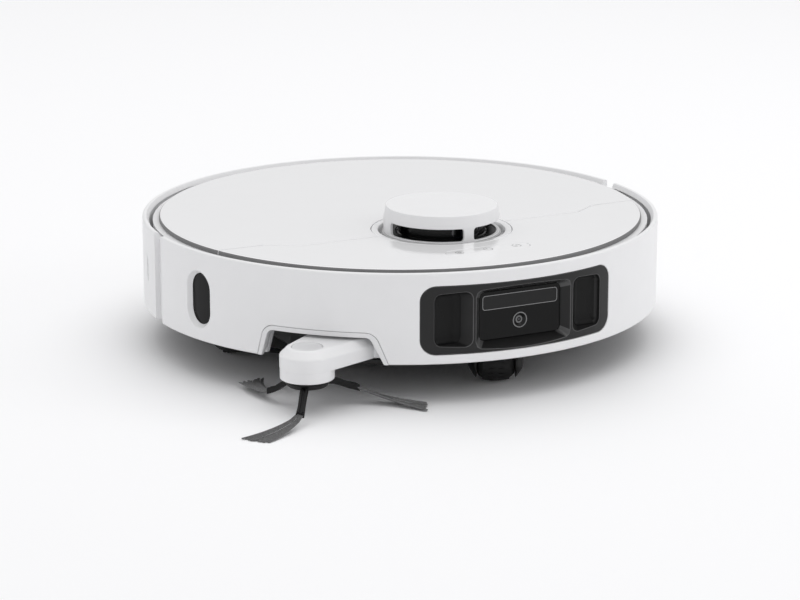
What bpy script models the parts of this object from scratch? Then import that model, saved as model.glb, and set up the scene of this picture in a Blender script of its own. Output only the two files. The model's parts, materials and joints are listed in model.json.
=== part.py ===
"""Round robotic floor cleaner, built up from its separate pieces.

Sizes below are in millimetres and become metres through MM. The robot's front faces -Y and its own
right-hand side is -X. The origin is the centre of the flat underside of the chassis, and the floor
is at FLOOR_Z.
"""
import math

import bmesh
import bpy
from mathutils import Matrix, Vector

MM = 0.001
GAP = 0.3                      # running gap between neighbouring pieces

# Overall envelope
FLOOR_Z = -9.5
BODY_R = 175.0
TOP_Z = 76.5                   # top plate and lip
BUMPER_Z = 17.0                # lower edge of bumper and rear shell
SHELL = 2.5                    # wall thickness of the outer shells
FINE = 80                      # segments of a full-size circle
ROUND = 36                     # segments of a middling circle
SMALL = 16                     # segments of a small circle
RIM_STEPS = 24                 # segments of a drive wheel's rim

# Chassis and inner frame
FRAME_R = 168.0
FRAME_WALL = 2.5
UNDER_R = 115.0                # radius of the flat underside
SLOPE_R = 166.0                # outer end of the underside's slope
SLOPE_TOP = 15.5
CHASSIS_TOP = 20.0
FLOOR_T = 2.5
DECK_Z = 73.2                  # floor of the ring channel around the top plate

# Shell ends, as angles from straight ahead
BUMPER_END = 91.1
REAR_END = 95.2
TONGUE_END = 88.0
TONGUE_R = 171.6

# Top plate
PLATE_R = 163.7
PLATE_T = 3.0
SPLIT_Y = -61.0                # seam between the fixed front plate and the lift-off lid
SPLIT_BACK_Y = -48.6
SPLIT_EDGE_Y = -47.9           # where the seam meets the plate's edge
SPLIT_IN_X = 104.0
SPLIT_OUT_X = 123.0
SEAM = 0.4

# Laser turret
TURRET_Y = -60.0
CAP_R = 37.0
CAP_TOP = 93.0
CAP_BAND_R = 38.5
WINDOW_TOP = 84.5
WINDOW_LOW = 76.0
CAP_LIP_R = 39.8
CAP_BASE = 74.0
SEAT_R = 46.7
SEAT_TUBE_R = 43.0             # collar under the seat, through the deck

# Button strip
BUTTON_Y = -124.0
BUTTON_W = 60.0
BUTTON_D = 12.5

# Front sensor recess
RECESS_HALF = 69.1
RECESS_LOW = 23.0
RECESS_HIGH = 68.0
RECESS_CORNER = 10.0
BEZEL_BACK = -154.0
MODULE_HALF = 34.3
MODULE_FACE = -167.5
POCKET_BACK = -158.5
GLASS_W = 58.6
GLASS_LOW = 28.9
GLASS_HIGH = 60.4
GLASS_FACE = -166.0
LENS_Z = 39.5
LENS_R = 5.2

# Side sensor
SIDE_ANGLE = -75.55
SIDE_LOW = 25.4
SIDE_HIGH = 63.6
SIDE_HALF = 12.05

# Side brush arm, with the brush axis at BRUSH_XY
ARM_PIVOT = (-70.0, -137.0)
BRUSH_XY = (-136.4, -137.8)
ARM_TIP_R = 17.5
ARM_HUB_R = 11.5
ARM_LOW = 19.0
ARM_HIGH = 32.5
ARM_TIP_LOW = 12.1
ARM_CHAMFER = 4.8
ARM_SWING = 44.0               # degrees from swung out to tucked in
NOTCH_LEFT = -57.6
NOTCH_RIGHT = -30.6
NOTCH_TOP_LEFT = -55.9
NOTCH_TOP_RIGHT = -33.6
NOTCH_TOP = 34.5
HUB_R = 14.6
HUB_LOW = 6.5
BRISTLE_R = 76.0
STEM_ANGLES = (112.0, 232.0, 352.0)

# Main brush
ROLLER_Y = -50.0
ROLLER_Z = 14.5
ROLLER_R = 21.5
ROLLER_HALF = 85.0
HOUSING_HALF = (88.5, 26.5)    # half length and half width of the brush housing
HOUSING_TOP = 44.0

# Drive wheels
WHEEL_Y = 9.0
TYRE_R = 35.0
RIM_R = 27.0
WHEEL_IN = 107.0
WHEEL_OUT = 133.0
WHEEL_Z = FLOOR_Z + TYRE_R
SUSPENSION_YZ = (-38.0, 20.0)
AXLE_R = 4.0

# Front caster
CASTER_Y = -135.0
CASTER_R = 14.5
CASTER_HALF = 12.0
CASTER_FORK_R = 18.0
CASTER_TURN = -27.3            # rest heading of the caster axle, degrees about Z
CASTER_Z = FLOOR_Z + CASTER_R

# Mops
MOP_XY = (66.0, 88.0)
MOP_R = 59.0
MOP_WELL_R = 62.0
MOP_CEILING = 18.5

# Dust bin
BIN_LOW = (-55.0, -8.0, 34.0)
BIN_HIGH = (55.0, 78.0, 71.0)
BIN_WALL = 2.0

# Fan
FAN_XY = (-77.0, 40.0)
FAN_R = 17.5

FINISHES = {                   # colour, roughness, metallic
    "white": ((0.86, 0.86, 0.87), 0.38, 0.0),
    "gloss_white": ((0.90, 0.90, 0.91), 0.10, 0.0),
    "grey": ((0.30, 0.31, 0.32), 0.50, 0.0),
    "black": ((0.015, 0.015, 0.017), 0.45, 0.0),
    "gloss_black": ((0.008, 0.008, 0.010), 0.08, 0.0),
    "rubber": ((0.03, 0.03, 0.03), 0.80, 0.0),
    "metal": ((0.70, 0.70, 0.72), 0.25, 1.0),
    "copper": ((0.75, 0.55, 0.25), 0.25, 1.0),
    "cloth": ((0.35, 0.37, 0.40), 0.95, 0.0),
    "clear": ((0.10, 0.05, 0.08), 0.05, 0.0),
    "board": ((0.02, 0.16, 0.08), 0.45, 0.0),
}


# ---------------------------------------------------------------- helpers

def clear_scene():
    for item in list(bpy.data.objects):
        bpy.data.objects.remove(item, do_unlink=True)


def collection(name):
    group = bpy.data.collections.new(name)
    bpy.context.scene.collection.children.link(group)
    return group


def paint(item, finish):
    colour, roughness, metallic = FINISHES[finish]
    mat = bpy.data.materials.new(item.name)
    mat.use_nodes = True
    shader = mat.node_tree.nodes["Principled BSDF"]
    shader.inputs["Base Color"].default_value = (*colour, 1.0)
    shader.inputs["Roughness"].default_value = roughness
    shader.inputs["Metallic"].default_value = metallic
    item.data.materials.clear()
    item.data.materials.append(mat)


def add(name, mesh, finish):
    """Link a mesh as a part when it has a finish, or as a cutter when it has none."""
    item = bpy.data.objects.new(name, mesh)
    if finish:
        PARTS.objects.link(item)
        paint(item, finish)
        mesh.shade_smooth()
        mesh.set_sharp_from_angle(angle=math.radians(35))
    else:
        CUTTERS.objects.link(item)
        item.hide_render = True
        item.display_type = "WIRE"
    return item


def mesh_from(bm, name):
    mesh = bpy.data.meshes.new(name)
    bm.to_mesh(mesh)
    bm.free()
    return mesh


def box(name, low, high, finish=None, bevel=0.0):
    """A box between two corners, with its long edges optionally rounded."""
    bm = bmesh.new()
    bmesh.ops.create_cube(bm, size=1.0)
    size = [(b - a) * MM for a, b in zip(low, high)]
    middle = [(a + b) / 2 * MM for a, b in zip(low, high)]
    bmesh.ops.scale(bm, vec=size, verts=bm.verts)
    bmesh.ops.translate(bm, vec=middle, verts=bm.verts)
    item = add(name, mesh_from(bm, name), finish)
    if bevel:
        soften(item, bevel)
    return item


def soften(item, width, segments=2, angle=40.0):
    bevel = item.modifiers.new("Bevel", "BEVEL")
    bevel.width = width * MM
    bevel.segments = segments
    bevel.limit_method = "ANGLE"
    bevel.angle_limit = math.radians(angle)


def rod(name, radius, start, end, finish=None, segments=ROUND):
    """A cylinder between two points."""
    start = Vector(start) * MM
    end = Vector(end) * MM
    bm = bmesh.new()
    bmesh.ops.create_cone(bm, cap_ends=True, segments=segments, radius1=radius * MM,
                          radius2=radius * MM, depth=(end - start).length)
    turn = Vector((0, 0, 1)).rotation_difference(end - start).to_matrix().to_4x4()
    place = Matrix.Translation((start + end) / 2) @ turn
    bmesh.ops.transform(bm, matrix=place, verts=bm.verts)
    return add(name, mesh_from(bm, name), finish)


def turned(name, profile, finish=None, centre=(0, 0, 0), steps=FINE, closed=True, turn=None):
    """A lathe shape from (radius, height) points that run down the outer side."""
    mesh = bpy.data.meshes.new(name)
    points = [(r * MM, 0.0, z * MM) for r, z in profile]
    edges = [(i, i + 1) for i in range(len(points) - 1)]
    if closed:
        edges.append((len(points) - 1, 0))
    mesh.from_pydata(points, edges, [])
    item = add(name, mesh, finish)
    item.location = Vector(centre) * MM
    if turn:
        item.rotation_euler = turn
    screw = item.modifiers.new("Screw", "SCREW")
    screw.angle = math.tau
    screw.steps = steps
    screw.render_steps = steps
    screw.use_merge_vertices = True
    screw.merge_threshold = 0.00001
    screw.use_smooth_shade = True
    return item


def slab(name, points, low, high, finish=None):
    """A flat outline extruded between two heights."""
    curve = bpy.data.curves.new(name, "CURVE")
    curve.dimensions = "2D"
    curve.fill_mode = "BOTH"
    curve.extrude = (high - low) / 2 * MM
    spline = curve.splines.new("POLY")
    spline.points.add(len(points) - 1)
    for target, (x, y) in zip(spline.points, points):
        target.co = (x * MM, y * MM, 0.0, 1.0)
    spline.use_cyclic_u = True
    guide = bpy.data.objects.new(name + "_outline", curve)
    bpy.context.scene.collection.objects.link(guide)
    graph = bpy.context.evaluated_depsgraph_get()
    mesh = bpy.data.meshes.new_from_object(guide.evaluated_get(graph))
    bpy.data.objects.remove(guide, do_unlink=True)
    bm = bmesh.new()
    bm.from_mesh(mesh)
    bpy.data.meshes.remove(mesh)
    bmesh.ops.remove_doubles(bm, verts=bm.verts, dist=0.000005)
    bmesh.ops.recalc_face_normals(bm, faces=bm.faces)
    bmesh.ops.translate(bm, vec=(0, 0, (low + high) / 2 * MM), verts=bm.verts)
    return add(name, mesh_from(bm, name), finish)


def stand(item, matrix):
    """Turn a slab's mesh from the flat plane to its working plane."""
    item.data.transform(matrix)
    return item


def chamfer_top(item, width):
    """Cut the upper rim of a slab back at 45 degrees."""
    bm = bmesh.new()
    bm.from_mesh(item.data)
    top = max(v.co.z for v in bm.verts)
    flat = [f for f in bm.faces if f.normal.z > 0.9]
    bmesh.ops.dissolve_faces(bm, faces=flat)
    rim = [e for e in bm.edges if all(v.co.z > top - 0.1 * MM for v in e.verts)]
    bmesh.ops.bevel(bm, geom=rim, offset=width * MM, offset_type="OFFSET", segments=1,
                    profile=0.5, affect="EDGES", material=-1)
    bm.to_mesh(item.data)
    bm.free()


def modify(target, other, operation):
    change = target.modifiers.new(operation.title(), "BOOLEAN")
    change.operation = operation
    change.solver = "EXACT"
    change.object = other


def cut(target, *others):
    for other in others:
        modify(target, other, "DIFFERENCE")
    return target


def fuse(target, *others):
    for other in others:
        modify(target, other, "UNION")
    return target


def keep_inside(target, other):
    modify(target, other, "INTERSECT")
    return target


def pivot(name, point, *pieces):
    """An empty on a joint axis that carries the pieces that move together."""
    empty = bpy.data.objects.new(name, None)
    empty.empty_display_size = 0.02
    PARTS.objects.link(empty)
    empty.location = Vector(point) * MM
    back = Matrix.Translation(empty.location).inverted()
    for piece in pieces:
        piece.parent = empty
        piece.matrix_parent_inverse = back


def polar(angle, radius):
    """A plan point at an angle from straight ahead, positive towards +X."""
    a = math.radians(angle)
    return (radius * math.sin(a), -radius * math.cos(a))


def arc(centre, radius, start, end, count):
    """Plan points on an arc, with angles from +X."""
    span = [start + (end - start) * i / count for i in range(count + 1)]
    return [(centre[0] + radius * math.cos(math.radians(a)),
             centre[1] + radius * math.sin(math.radians(a))) for a in span]


def rounded(half_x, half_y, corner, count=5, centre=(0.0, 0.0)):
    """A rectangle with round corners."""
    points = []
    signs = ((1, 1, 0), (-1, 1, 90), (-1, -1, 180), (1, -1, 270))
    for sx, sy, start in signs:
        middle = (centre[0] + sx * (half_x - corner), centre[1] + sy * (half_y - corner))
        points += arc(middle, corner, start, start + 90, count)
    return points


def wedge(name, start, end, low=-20.0, high=120.0, reach=260.0):
    """A fan-shaped cutter between two angles from straight ahead."""
    count = max(2, int(abs(end - start) / 30) + 1)
    steps = [start + (end - start) * i / count for i in range(count + 1)]
    points = [(0.0, 0.0)] + [polar(a, reach) for a in steps]
    return slab(name, points, low, high)


def facing(angle):
    """Maps a slab drawn in (x, height) to a wall at an angle, with its depth along the radius."""
    spin = Matrix.Rotation(math.radians(angle), 4, "Z")
    return spin @ Matrix.Rotation(math.radians(90), 4, "X")


# ---------------------------------------------------------------- casing

def chassis_base():
    """Tray with a flat middle and a long slope up to its rim."""
    inner = FRAME_R - FRAME_WALL
    profile = [(0, FLOOR_T), (UNDER_R, FLOOR_T), (SLOPE_R - 2, SLOPE_TOP + 2), (inner, SLOPE_TOP + 2.6),
               (inner, CHASSIS_TOP), (FRAME_R, CHASSIS_TOP), (FRAME_R, SLOPE_TOP + 0.6),
               (SLOPE_R, SLOPE_TOP), (UNDER_R, 0), (0, 0)]
    base = turned("chassis_base", profile, "black", closed=False)
    half_x, half_y = HOUSING_HALF
    cut(base, box("cut_brush_bay", (-half_x - GAP, ROLLER_Y - half_y - GAP, -5),
                  (half_x + GAP, ROLLER_Y + half_y + GAP, 10)))
    for side, sign in (("left", 1), ("right", -1)):
        edges = sorted((sign * 91.5, sign * 137.0))
        cut(base, box("cut_wheel_" + side, (edges[0], -48, -5), (edges[1], 47, 18)))
        x, y = sign * MOP_XY[0], MOP_XY[1]
        cut(base, rod("cut_mop_" + side, MOP_WELL_R + GAP, (x, y, -5), (x, y, 30), segments=ROUND))
    cut(base, rod("cut_caster", CASTER_FORK_R + 2, (0, CASTER_Y, -5), (0, CASTER_Y, 18)))
    cut(base, brush_sweep("cut_brush_sweep", 31.0, -5, 25))
    cut(base, wedge("cut_chassis_arm", -63.0, -20.0, 18.4, 36))
    for name, (x, y) in CLIFF_PLACES.items():
        cut(base, box("cut_" + name, (x - 7.3, y - 4.3, 4), (x + 7.3, y + 4.3, 18)))
    x, y = CARPET_XY
    cut(base, rod("cut_carpet", 9.3, (x, y, -2), (x, y, 12), segments=SMALL))
    return base


CLIFF_PLACES = {
    "cliff_sensor_front_left": (40.0, -142.0),
    "cliff_sensor_front_right": (-40.0, -142.0),
    "cliff_sensor_side_left": (145.0, -30.0),
    "cliff_sensor_side_right": (-145.0, -30.0),
}
CARPET_XY = (60.0, -108.0)


def brush_sweep(name, radius, low, high):
    """The plan area that a disc on the brush axis covers as the arm swings."""
    arm = Vector(BRUSH_XY) - Vector(ARM_PIVOT)
    reach = arm.length
    start = math.degrees(math.atan2(arm.y, arm.x))
    end = start - ARM_SWING
    tucked = arc(ARM_PIVOT, reach, end, end, 1)[0]
    points = arc(ARM_PIVOT, reach + radius, end, start, 8)
    points += arc(BRUSH_XY, radius, start, start + 180, 8)[1:-1]
    points += arc(ARM_PIVOT, reach - radius, start, end, 8)
    points += arc(tucked, radius, end - 180, end, 8)[1:-1]
    return slab(name, points, low, high)


def upper_frame():
    inner = FRAME_R - FRAME_WALL
    low = CHASSIS_TOP + GAP
    profile = [(0, DECK_Z), (FRAME_R, DECK_Z), (FRAME_R, low), (inner, low),
               (inner, DECK_Z - 2.5), (0, DECK_Z - 2.5)]
    frame = turned("upper_frame", profile, "white", closed=False)
    cut(frame, box("cut_bin_bay", (-57.5, -10.5, 60), (57.5, 80.5, 90)))
    cut(frame, rod("cut_turret_deck", SEAT_TUBE_R + GAP, (0, TURRET_Y, 60), (0, TURRET_Y, 90)))
    cut(frame, box("cut_sensor_bay", (-74, -200, 10), (74, -135, DECK_Z - 4)))
    cut(frame, wedge("cut_arm_bay", -63.0, -20.0, 10, 36))
    return frame


def shell_profile(inner):
    """Outer wall with the raised lip at its top, from the lip's outer edge down."""
    return [(172.0, TOP_Z - 0.3), (172.8, TOP_Z), (174.0, TOP_Z - 0.1), (174.8, TOP_Z - 0.8),
            (BODY_R, TOP_Z - 1.8), (BODY_R, BUMPER_Z + 1.5), (BODY_R - 1, BUMPER_Z),
            (inner, BUMPER_Z), (inner, DECK_Z + GAP), (170.4, DECK_Z + GAP)]


def rear_shell():
    inner = TONGUE_R - 0.6
    profile = shell_profile(inner)
    shell = turned("rear_shell", profile, "white")
    cut(shell, wedge("cut_rear_front", -REAR_END, REAR_END))
    tongue_profile = [(TONGUE_R, DECK_Z - GAP), (TONGUE_R, BUMPER_Z + GAP),
                      (169.3, BUMPER_Z + GAP), (169.3, DECK_Z - GAP)]
    tongue = turned("tongue_ring", tongue_profile)
    cut(tongue, wedge("cut_tongue_front", -TONGUE_END, TONGUE_END))
    cut(tongue, wedge("cut_tongue_back", REAR_END + 5, 360 - REAR_END - 5))
    fuse(shell, tongue)
    for i in range(5):
        slot = box("cut_vent_%d" % i, (-3.6, -6, -0.7), (3.6, 6, 0.7))
        x, y = polar(-101.8, BODY_R - 2)
        slot.matrix_world = (Matrix.Translation(Vector((x, y, 54.5 - 3.2 * i)) * MM)
                             @ Matrix.Rotation(math.radians(-101.8), 4, "Z")
                             @ Matrix.Rotation(math.radians(45), 4, "Y"))
        cut(shell, slot)
    for side, x in (("left", 30), ("right", -30)):
        cut(shell, box("cut_contact_" + side, (x - 8.3, 171.6, 21.7), (x + 8.3, 185, 30.3)))
    return shell


def bumper():
    shell = turned("bumper", shell_profile(BODY_R - SHELL), "white")
    cut(shell, wedge("cut_bumper_back", BUMPER_END, 360 - BUMPER_END))
    middle = (RECESS_LOW + RECESS_HIGH) / 2
    height = (RECESS_HIGH - RECESS_LOW) / 2
    recess = slab("cut_recess", rounded(RECESS_HALF, height, RECESS_CORNER, centre=(0, middle)),
                  140, 190)
    cut(shell, stand(recess, facing(0)))
    cut(shell, stand(side_pill("cut_side_sensor", SIDE_HALF, SIDE_LOW, SIDE_HIGH, 160, 190),
                     facing(SIDE_ANGLE)))
    cut(shell, notch_cutter())
    return shell


def side_pill(name, half, low, high, near, far):
    middle = (low + high) / 2
    return slab(name, rounded(half, (high - low) / 2, half - 0.1, centre=(0, middle)), near, far)


def notch_cutter():
    """The arm's gate: open at the bottom, with round upper corners, cut square to its middle."""
    middle = (NOTCH_LEFT + NOTCH_RIGHT) / 2

    def across(angle):
        return BODY_R * math.sin(math.radians(angle - middle))

    left, right = across(NOTCH_LEFT), across(NOTCH_RIGHT)
    top_left, top_right = across(NOTCH_TOP_LEFT), across(NOTCH_TOP_RIGHT)
    radius = 4.0
    points = [(left - 1.0, 5.0), (right + 1.0, 5.0), (right, BUMPER_Z)]
    points += arc((top_right - radius, NOTCH_TOP - radius), radius, 20, 90, 4)
    points += arc((top_left + radius, NOTCH_TOP - radius), radius, 90, 165, 4)
    points += [(left, BUMPER_Z)]
    return stand(slab("cut_notch", points, 140, 190), facing(middle))


def plate_edge(start, end):
    """Points on the plate's edge between two angles from +X."""
    return arc((0, 0), PLATE_R, start, end, 48)


def seam_line(offset):
    """The stepped seam from -X to +X, moved along Y by an offset."""
    y, back = SPLIT_Y + offset, SPLIT_BACK_Y + offset
    bend = [(SPLIT_OUT_X, back), (SPLIT_OUT_X - 5, back - 1.2), (SPLIT_IN_X + 4, y + 2.4),
            (SPLIT_IN_X - 3, y)]
    return [(-x, v) for x, v in bend] + bend[::-1]


def front_plate():
    edge_y = SPLIT_EDGE_Y - SEAM / 2
    turn = math.degrees(math.asin(-edge_y / PLATE_R))
    points = seam_line(-SEAM / 2) + plate_edge(-turn, -180 + turn)
    plate = slab("front_plate", points, TOP_Z - PLATE_T, TOP_Z, "gloss_white")
    cut(plate, rod("cut_front_turret", SEAT_R + GAP, (0, TURRET_Y, 60), (0, TURRET_Y, 90)))
    pill = rounded(BUTTON_W / 2 + GAP, BUTTON_D / 2 + GAP, BUTTON_D / 2 + 0.2,
                   centre=(0, BUTTON_Y))
    return cut(plate, slab("cut_buttons", pill, 60, 90))


def top_lid():
    edge_y = SPLIT_EDGE_Y + SEAM / 2
    turn = math.degrees(math.asin(-edge_y / PLATE_R))
    points = seam_line(SEAM / 2)[::-1] + plate_edge(180 + turn, -turn)
    lid = slab("top_lid", points, TOP_Z - PLATE_T, TOP_Z, "gloss_white")
    cut(lid, rod("cut_lid_turret", SEAT_R + GAP, (0, TURRET_Y, 60), (0, TURRET_Y, 90)))
    return lid


def button_strip():
    outline = rounded(BUTTON_W / 2, BUTTON_D / 2, BUTTON_D / 2 - 0.1, centre=(0, BUTTON_Y))
    return slab("button_strip", outline, TOP_Z - 2.3, TOP_Z - 0.1, "gloss_white")


# ---------------------------------------------------------------- laser turret

def lidar_seat():
    profile = [(43.7, TOP_Z - 0.4), (SEAT_R, TOP_Z - 0.1), (SEAT_R, DECK_Z + GAP),
               (SEAT_TUBE_R, DECK_Z + GAP), (SEAT_TUBE_R, 66.0), (38.0, 66.0), (38.0, 70.5),
               (40.4, 71.2), (41.8, 74.4)]
    return turned("lidar_seat", profile, "white", (0, TURRET_Y, 0), ROUND)


def turret_cap():
    wall = 2.0
    profile = [(0, CAP_TOP), (CAP_R - 0.8, CAP_TOP), (CAP_R, CAP_TOP - 0.8),
               (CAP_BAND_R, WINDOW_TOP), (CAP_BAND_R, WINDOW_LOW), (CAP_LIP_R, CAP_BASE + 1),
               (CAP_LIP_R, CAP_BASE), (CAP_BAND_R - wall, CAP_BASE),
               (CAP_R - wall, CAP_TOP - 2), (0, CAP_TOP - 2)]
    cap = turned("turret_cap", profile, "white", (0, TURRET_Y, 0), ROUND, closed=False)
    spans = (("left", 5.5, 89.0), ("right", -89.0, -5.5), ("back", 117.0, 243.0))
    for name, start, end in spans:
        window = wedge("cut_window_" + name, start, end, WINDOW_LOW, WINDOW_TOP, 60)
        window.location = Vector((0, TURRET_Y, 0)) * MM
        cut(cap, window)
    return cap


def lidar_head():
    profile = [(0, 88.5), (29.0, 88.5), (30.0, 87.5), (30.0, 68.5), (0, 68.5)]
    return turned("lidar_head", profile, "gloss_black", (0, TURRET_Y, 0), ROUND, closed=False)


def lidar_base():
    profile = [(0, 68.0), (9, 68.0), (9, 65.0), (36.0, 65.0), (36.0, 50.0), (0, 50.0)]
    return turned("lidar_base", profile, "black", (0, TURRET_Y, 0), ROUND, closed=False)


# ---------------------------------------------------------------- front sensors

def sensor_bezel():
    """Black insert of the bumper: a curved block with a pocket on each side of its middle."""
    middle = (RECESS_LOW + RECESS_HIGH) / 2
    height = (RECESS_HIGH - RECESS_LOW) / 2 - GAP
    outline = rounded(RECESS_HALF - GAP, height, RECESS_CORNER - GAP, centre=(0, middle))
    block = slab("sensor_bezel", outline, -BEZEL_BACK, 190, "gloss_black")
    stand(block, facing(0))
    keep_inside(block, rod("bezel_curve", BODY_R - 0.4, (0, 0, 0), (0, 0, 100), segments=2 * FINE))
    low, high = RECESS_LOW + 4.2, RECESS_HIGH - 4.2
    for side, sign in (("left", 1), ("right", -1)):
        inner, outer = MODULE_HALF, RECESS_HALF - 9.6
        centre = (sign * (inner + outer) / 2, middle)
        shape = rounded((outer - inner) / 2, (high - low) / 2, 5.0, 3, centre)
        cut(block, stand(slab("cut_pocket_" + side, shape, -POCKET_BACK, 200), facing(0)))
    cut(block, box("cut_module_face", (-MODULE_HALF - 0.5, -200, low), (MODULE_HALF + 0.5,
                                                                       MODULE_FACE, high)))
    half = GLASS_W / 2 + GAP
    cut(block, box("cut_module_window", (-half, -200, GLASS_LOW - GAP),
                   (half, -140, GLASS_HIGH + GAP)))
    return block


def sensor_window():
    middle = (GLASS_LOW + GLASS_HIGH) / 2
    shape = rounded(GLASS_W / 2, (GLASS_HIGH - GLASS_LOW) / 2, 2.0, 3, (0, middle))
    return stand(slab("sensor_window", shape, -GLASS_FACE - 1.5, -GLASS_FACE, "gloss_black"),
                 facing(0))


def laser_bar():
    shape = rounded(27.2, 4.75, 2.0, 3, (0, TOP_Z - 23.3))
    return stand(slab("laser_bar", shape, -GLASS_FACE + GAP, -GLASS_FACE + 0.9, "gloss_black"),
                 facing(0))


def camera_lens():
    return rod("camera_lens", LENS_R, (0, GLASS_FACE - GAP, LENS_Z),
               (0, GLASS_FACE - 1.1, LENS_Z), "metal", SMALL)


def camera_module():
    module = box("camera_module", (-28, GLASS_FACE + 1.8, 30.5), (28, -146, 59), "black")
    return module


def side_sensor_window():
    half = SIDE_HALF + 2.5
    window = side_pill("side_sensor_window", half, SIDE_LOW - 2.5, SIDE_HIGH + 2.5, 160, 190)
    stand(window, facing(SIDE_ANGLE))
    paint(window, "gloss_black")
    CUTTERS.objects.unlink(window)
    PARTS.objects.link(window)
    window.hide_render = False
    window.display_type = "TEXTURED"
    outer = BODY_R - SHELL - GAP
    ring = turned("side_window_ring", [(outer, 80), (outer, 10), (outer - 1.6, 10),
                                       (outer - 1.6, 80)])
    return keep_inside(window, ring)


# ---------------------------------------------------------------- side brush

def side_brush_arm():
    """A wedge-shaped plate with a round tip, turning on the motor shaft at its inner end."""
    front = math.radians(20)
    back = math.radians(37)
    tip = arc(BRUSH_XY, ARM_TIP_R, 127, 290, 16)
    back_start = tip[0]
    back_end = (back_start[0] + 44 * math.cos(back), back_start[1] + 44 * math.sin(back))
    front_start = tip[-1]
    front_end = (front_start[0] + 40 * math.cos(front), front_start[1] + 40 * math.sin(front))
    hub = arc(ARM_PIVOT, ARM_HUB_R, -108, 70, 10)
    points = tip + [front_end] + hub + [back_end]
    arm = slab("side_brush_arm", points, ARM_LOW, ARM_HIGH, "white")
    chamfer_top(arm, ARM_CHAMFER)
    x, y = BRUSH_XY
    fuse(arm, rod("arm_tip", ARM_TIP_R - 0.2, (x, y, ARM_TIP_LOW), (x, y, ARM_LOW + 2), segments=32))
    px, py = ARM_PIVOT
    cut(arm, rod("cut_arm_bore", 4.3, (px, py, 10), (px, py, 40), segments=SMALL))
    cut(arm, rod("cut_arm_cap", 10.0, (x, y, ARM_HIGH - 1.2), (x, y, 40), segments=32))
    return arm


def arm_cap():
    x, y = BRUSH_XY
    return rod("arm_cap", 9.7, (x, y, ARM_HIGH - 0.9), (x, y, ARM_HIGH - 0.3), "white", 32)


def arm_motor():
    x, y = ARM_PIVOT
    motor = rod("arm_motor", 11.0, (x, y, 36.5), (x, y, 54), "grey", SMALL)
    return fuse(motor, rod("arm_shaft", 4.0, (x, y, 17), (x, y, 37.5), segments=SMALL))


def arm_bay():
    """Black ceiling over the space that the arm tucks into."""
    edge = 164.8
    points = [(-52.0, -80.0), (-56.0, -147.0)]
    points += [polar(a, edge) for a in (-28, -33, -38, -43, -48, -53, -58, -60.5)]
    plate = slab("arm_bay", points, ARM_HIGH + 0.8, ARM_HIGH + 2.6, "black")
    x, y = ARM_PIVOT
    return cut(plate, rod("cut_bay_shaft", 5.0, (x, y, 30), (x, y, 40), segments=SMALL))


def side_brush():
    """Hub with three flat stems that droop to the floor and fan out into bristles."""
    x, y = BRUSH_XY
    top = ARM_TIP_LOW - GAP
    brush = rod("side_brush", HUB_R, (x, y, HUB_LOW), (x, y, top), "black", 32)
    for number, angle in enumerate(STEM_ANGLES):
        fuse(brush, bristle_strip("strip_%d" % number, angle))
    return brush


def bristle_strip(name, angle):
    """One swept strip: radius, height, half width and a lag angle at each station."""
    stations = ((8.0, 8.6, 3.0, 0.0), (16.0, 7.4, 3.0, 0.0), (25.0, 1.5, 3.2, -3.0),
                (34.0, -4.6, 3.4, -6.0), (46.0, -8.0, 5.0, -9.0), (60.0, -8.6, 7.6, -12.0),
                (BRISTLE_R, -8.7, 10.0, -15.0))
    thick = 0.7
    bm = bmesh.new()
    rings = []
    for radius, height, half, lag in stations:
        turn = math.radians(angle + lag)
        out = Vector((math.cos(turn), math.sin(turn), 0))
        side = Vector((-out.y, out.x, 0))
        middle = Vector((BRUSH_XY[0], BRUSH_XY[1], height)) + out * radius
        corners = [middle + side * half * a + Vector((0, 0, thick * b))
                   for a, b in ((-1, -1), (1, -1), (1, 1), (-1, 1))]
        rings.append([bm.verts.new(c * MM) for c in corners])
    for ring in rings:
        for i in range(4):
            bm.edges.new((ring[i], ring[(i + 1) % 4]))
    for first, second in zip(rings, rings[1:]):
        loop = [bm.edges.get((r[i], r[(i + 1) % 4])) for r in (first, second) for i in range(4)]
        bmesh.ops.bridge_loops(bm, edges=loop)
    bmesh.ops.contextual_create(bm, geom=rings[0])
    bmesh.ops.contextual_create(bm, geom=rings[-1])
    bmesh.ops.recalc_face_normals(bm, faces=bm.faces)
    return add(name, mesh_from(bm, name), None)


# ---------------------------------------------------------------- main brush

def brush_housing():
    half_x, half_y = HOUSING_HALF
    wall = 2.0
    shell = box("brush_housing", (-half_x, ROLLER_Y - half_y, 3), (half_x, ROLLER_Y + half_y,
                                                                   HOUSING_TOP), "black")
    cut(shell, box("cut_housing", (-half_x + wall, ROLLER_Y - half_y + wall, -5),
                   (half_x - wall, ROLLER_Y + half_y - wall, HOUSING_TOP - wall)))
    return cut(shell, box("cut_duct", (-22, ROLLER_Y + half_y - 6, 30), (22, -10, 40)))


def brush_guard():
    corners = [(-92.6, -19), (-92.6, -65), (-76.6, -81), (76.6, -81), (92.6, -65), (92.6, -19)]
    guard = slab("brush_guard", corners, -1.8, -0.3, "grey")
    return cut(guard, box("cut_guard", (-86, -71, -6), (86, -29, 6)))


def main_brush():
    fins = 6
    points = []
    for i in range(fins):
        start = 360 / fins * i
        points += arc((0, 0), 16.5, start, start + 44, 3)
        points += arc((0, 0), ROLLER_R, start + 48, start + 56, 1)
    roller = slab("main_brush", points, -ROLLER_HALF, ROLLER_HALF, "rubber")
    place = (Matrix.Translation(Vector((0, ROLLER_Y, ROLLER_Z)) * MM)
             @ Matrix.Rotation(math.radians(90), 4, "Y"))
    return stand(roller, place)


def brush_motor():
    return rod("brush_motor", 10.5, (52, -45, 57), (88, -45, 57), "metal", SMALL)


# ---------------------------------------------------------------- wheels

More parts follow.
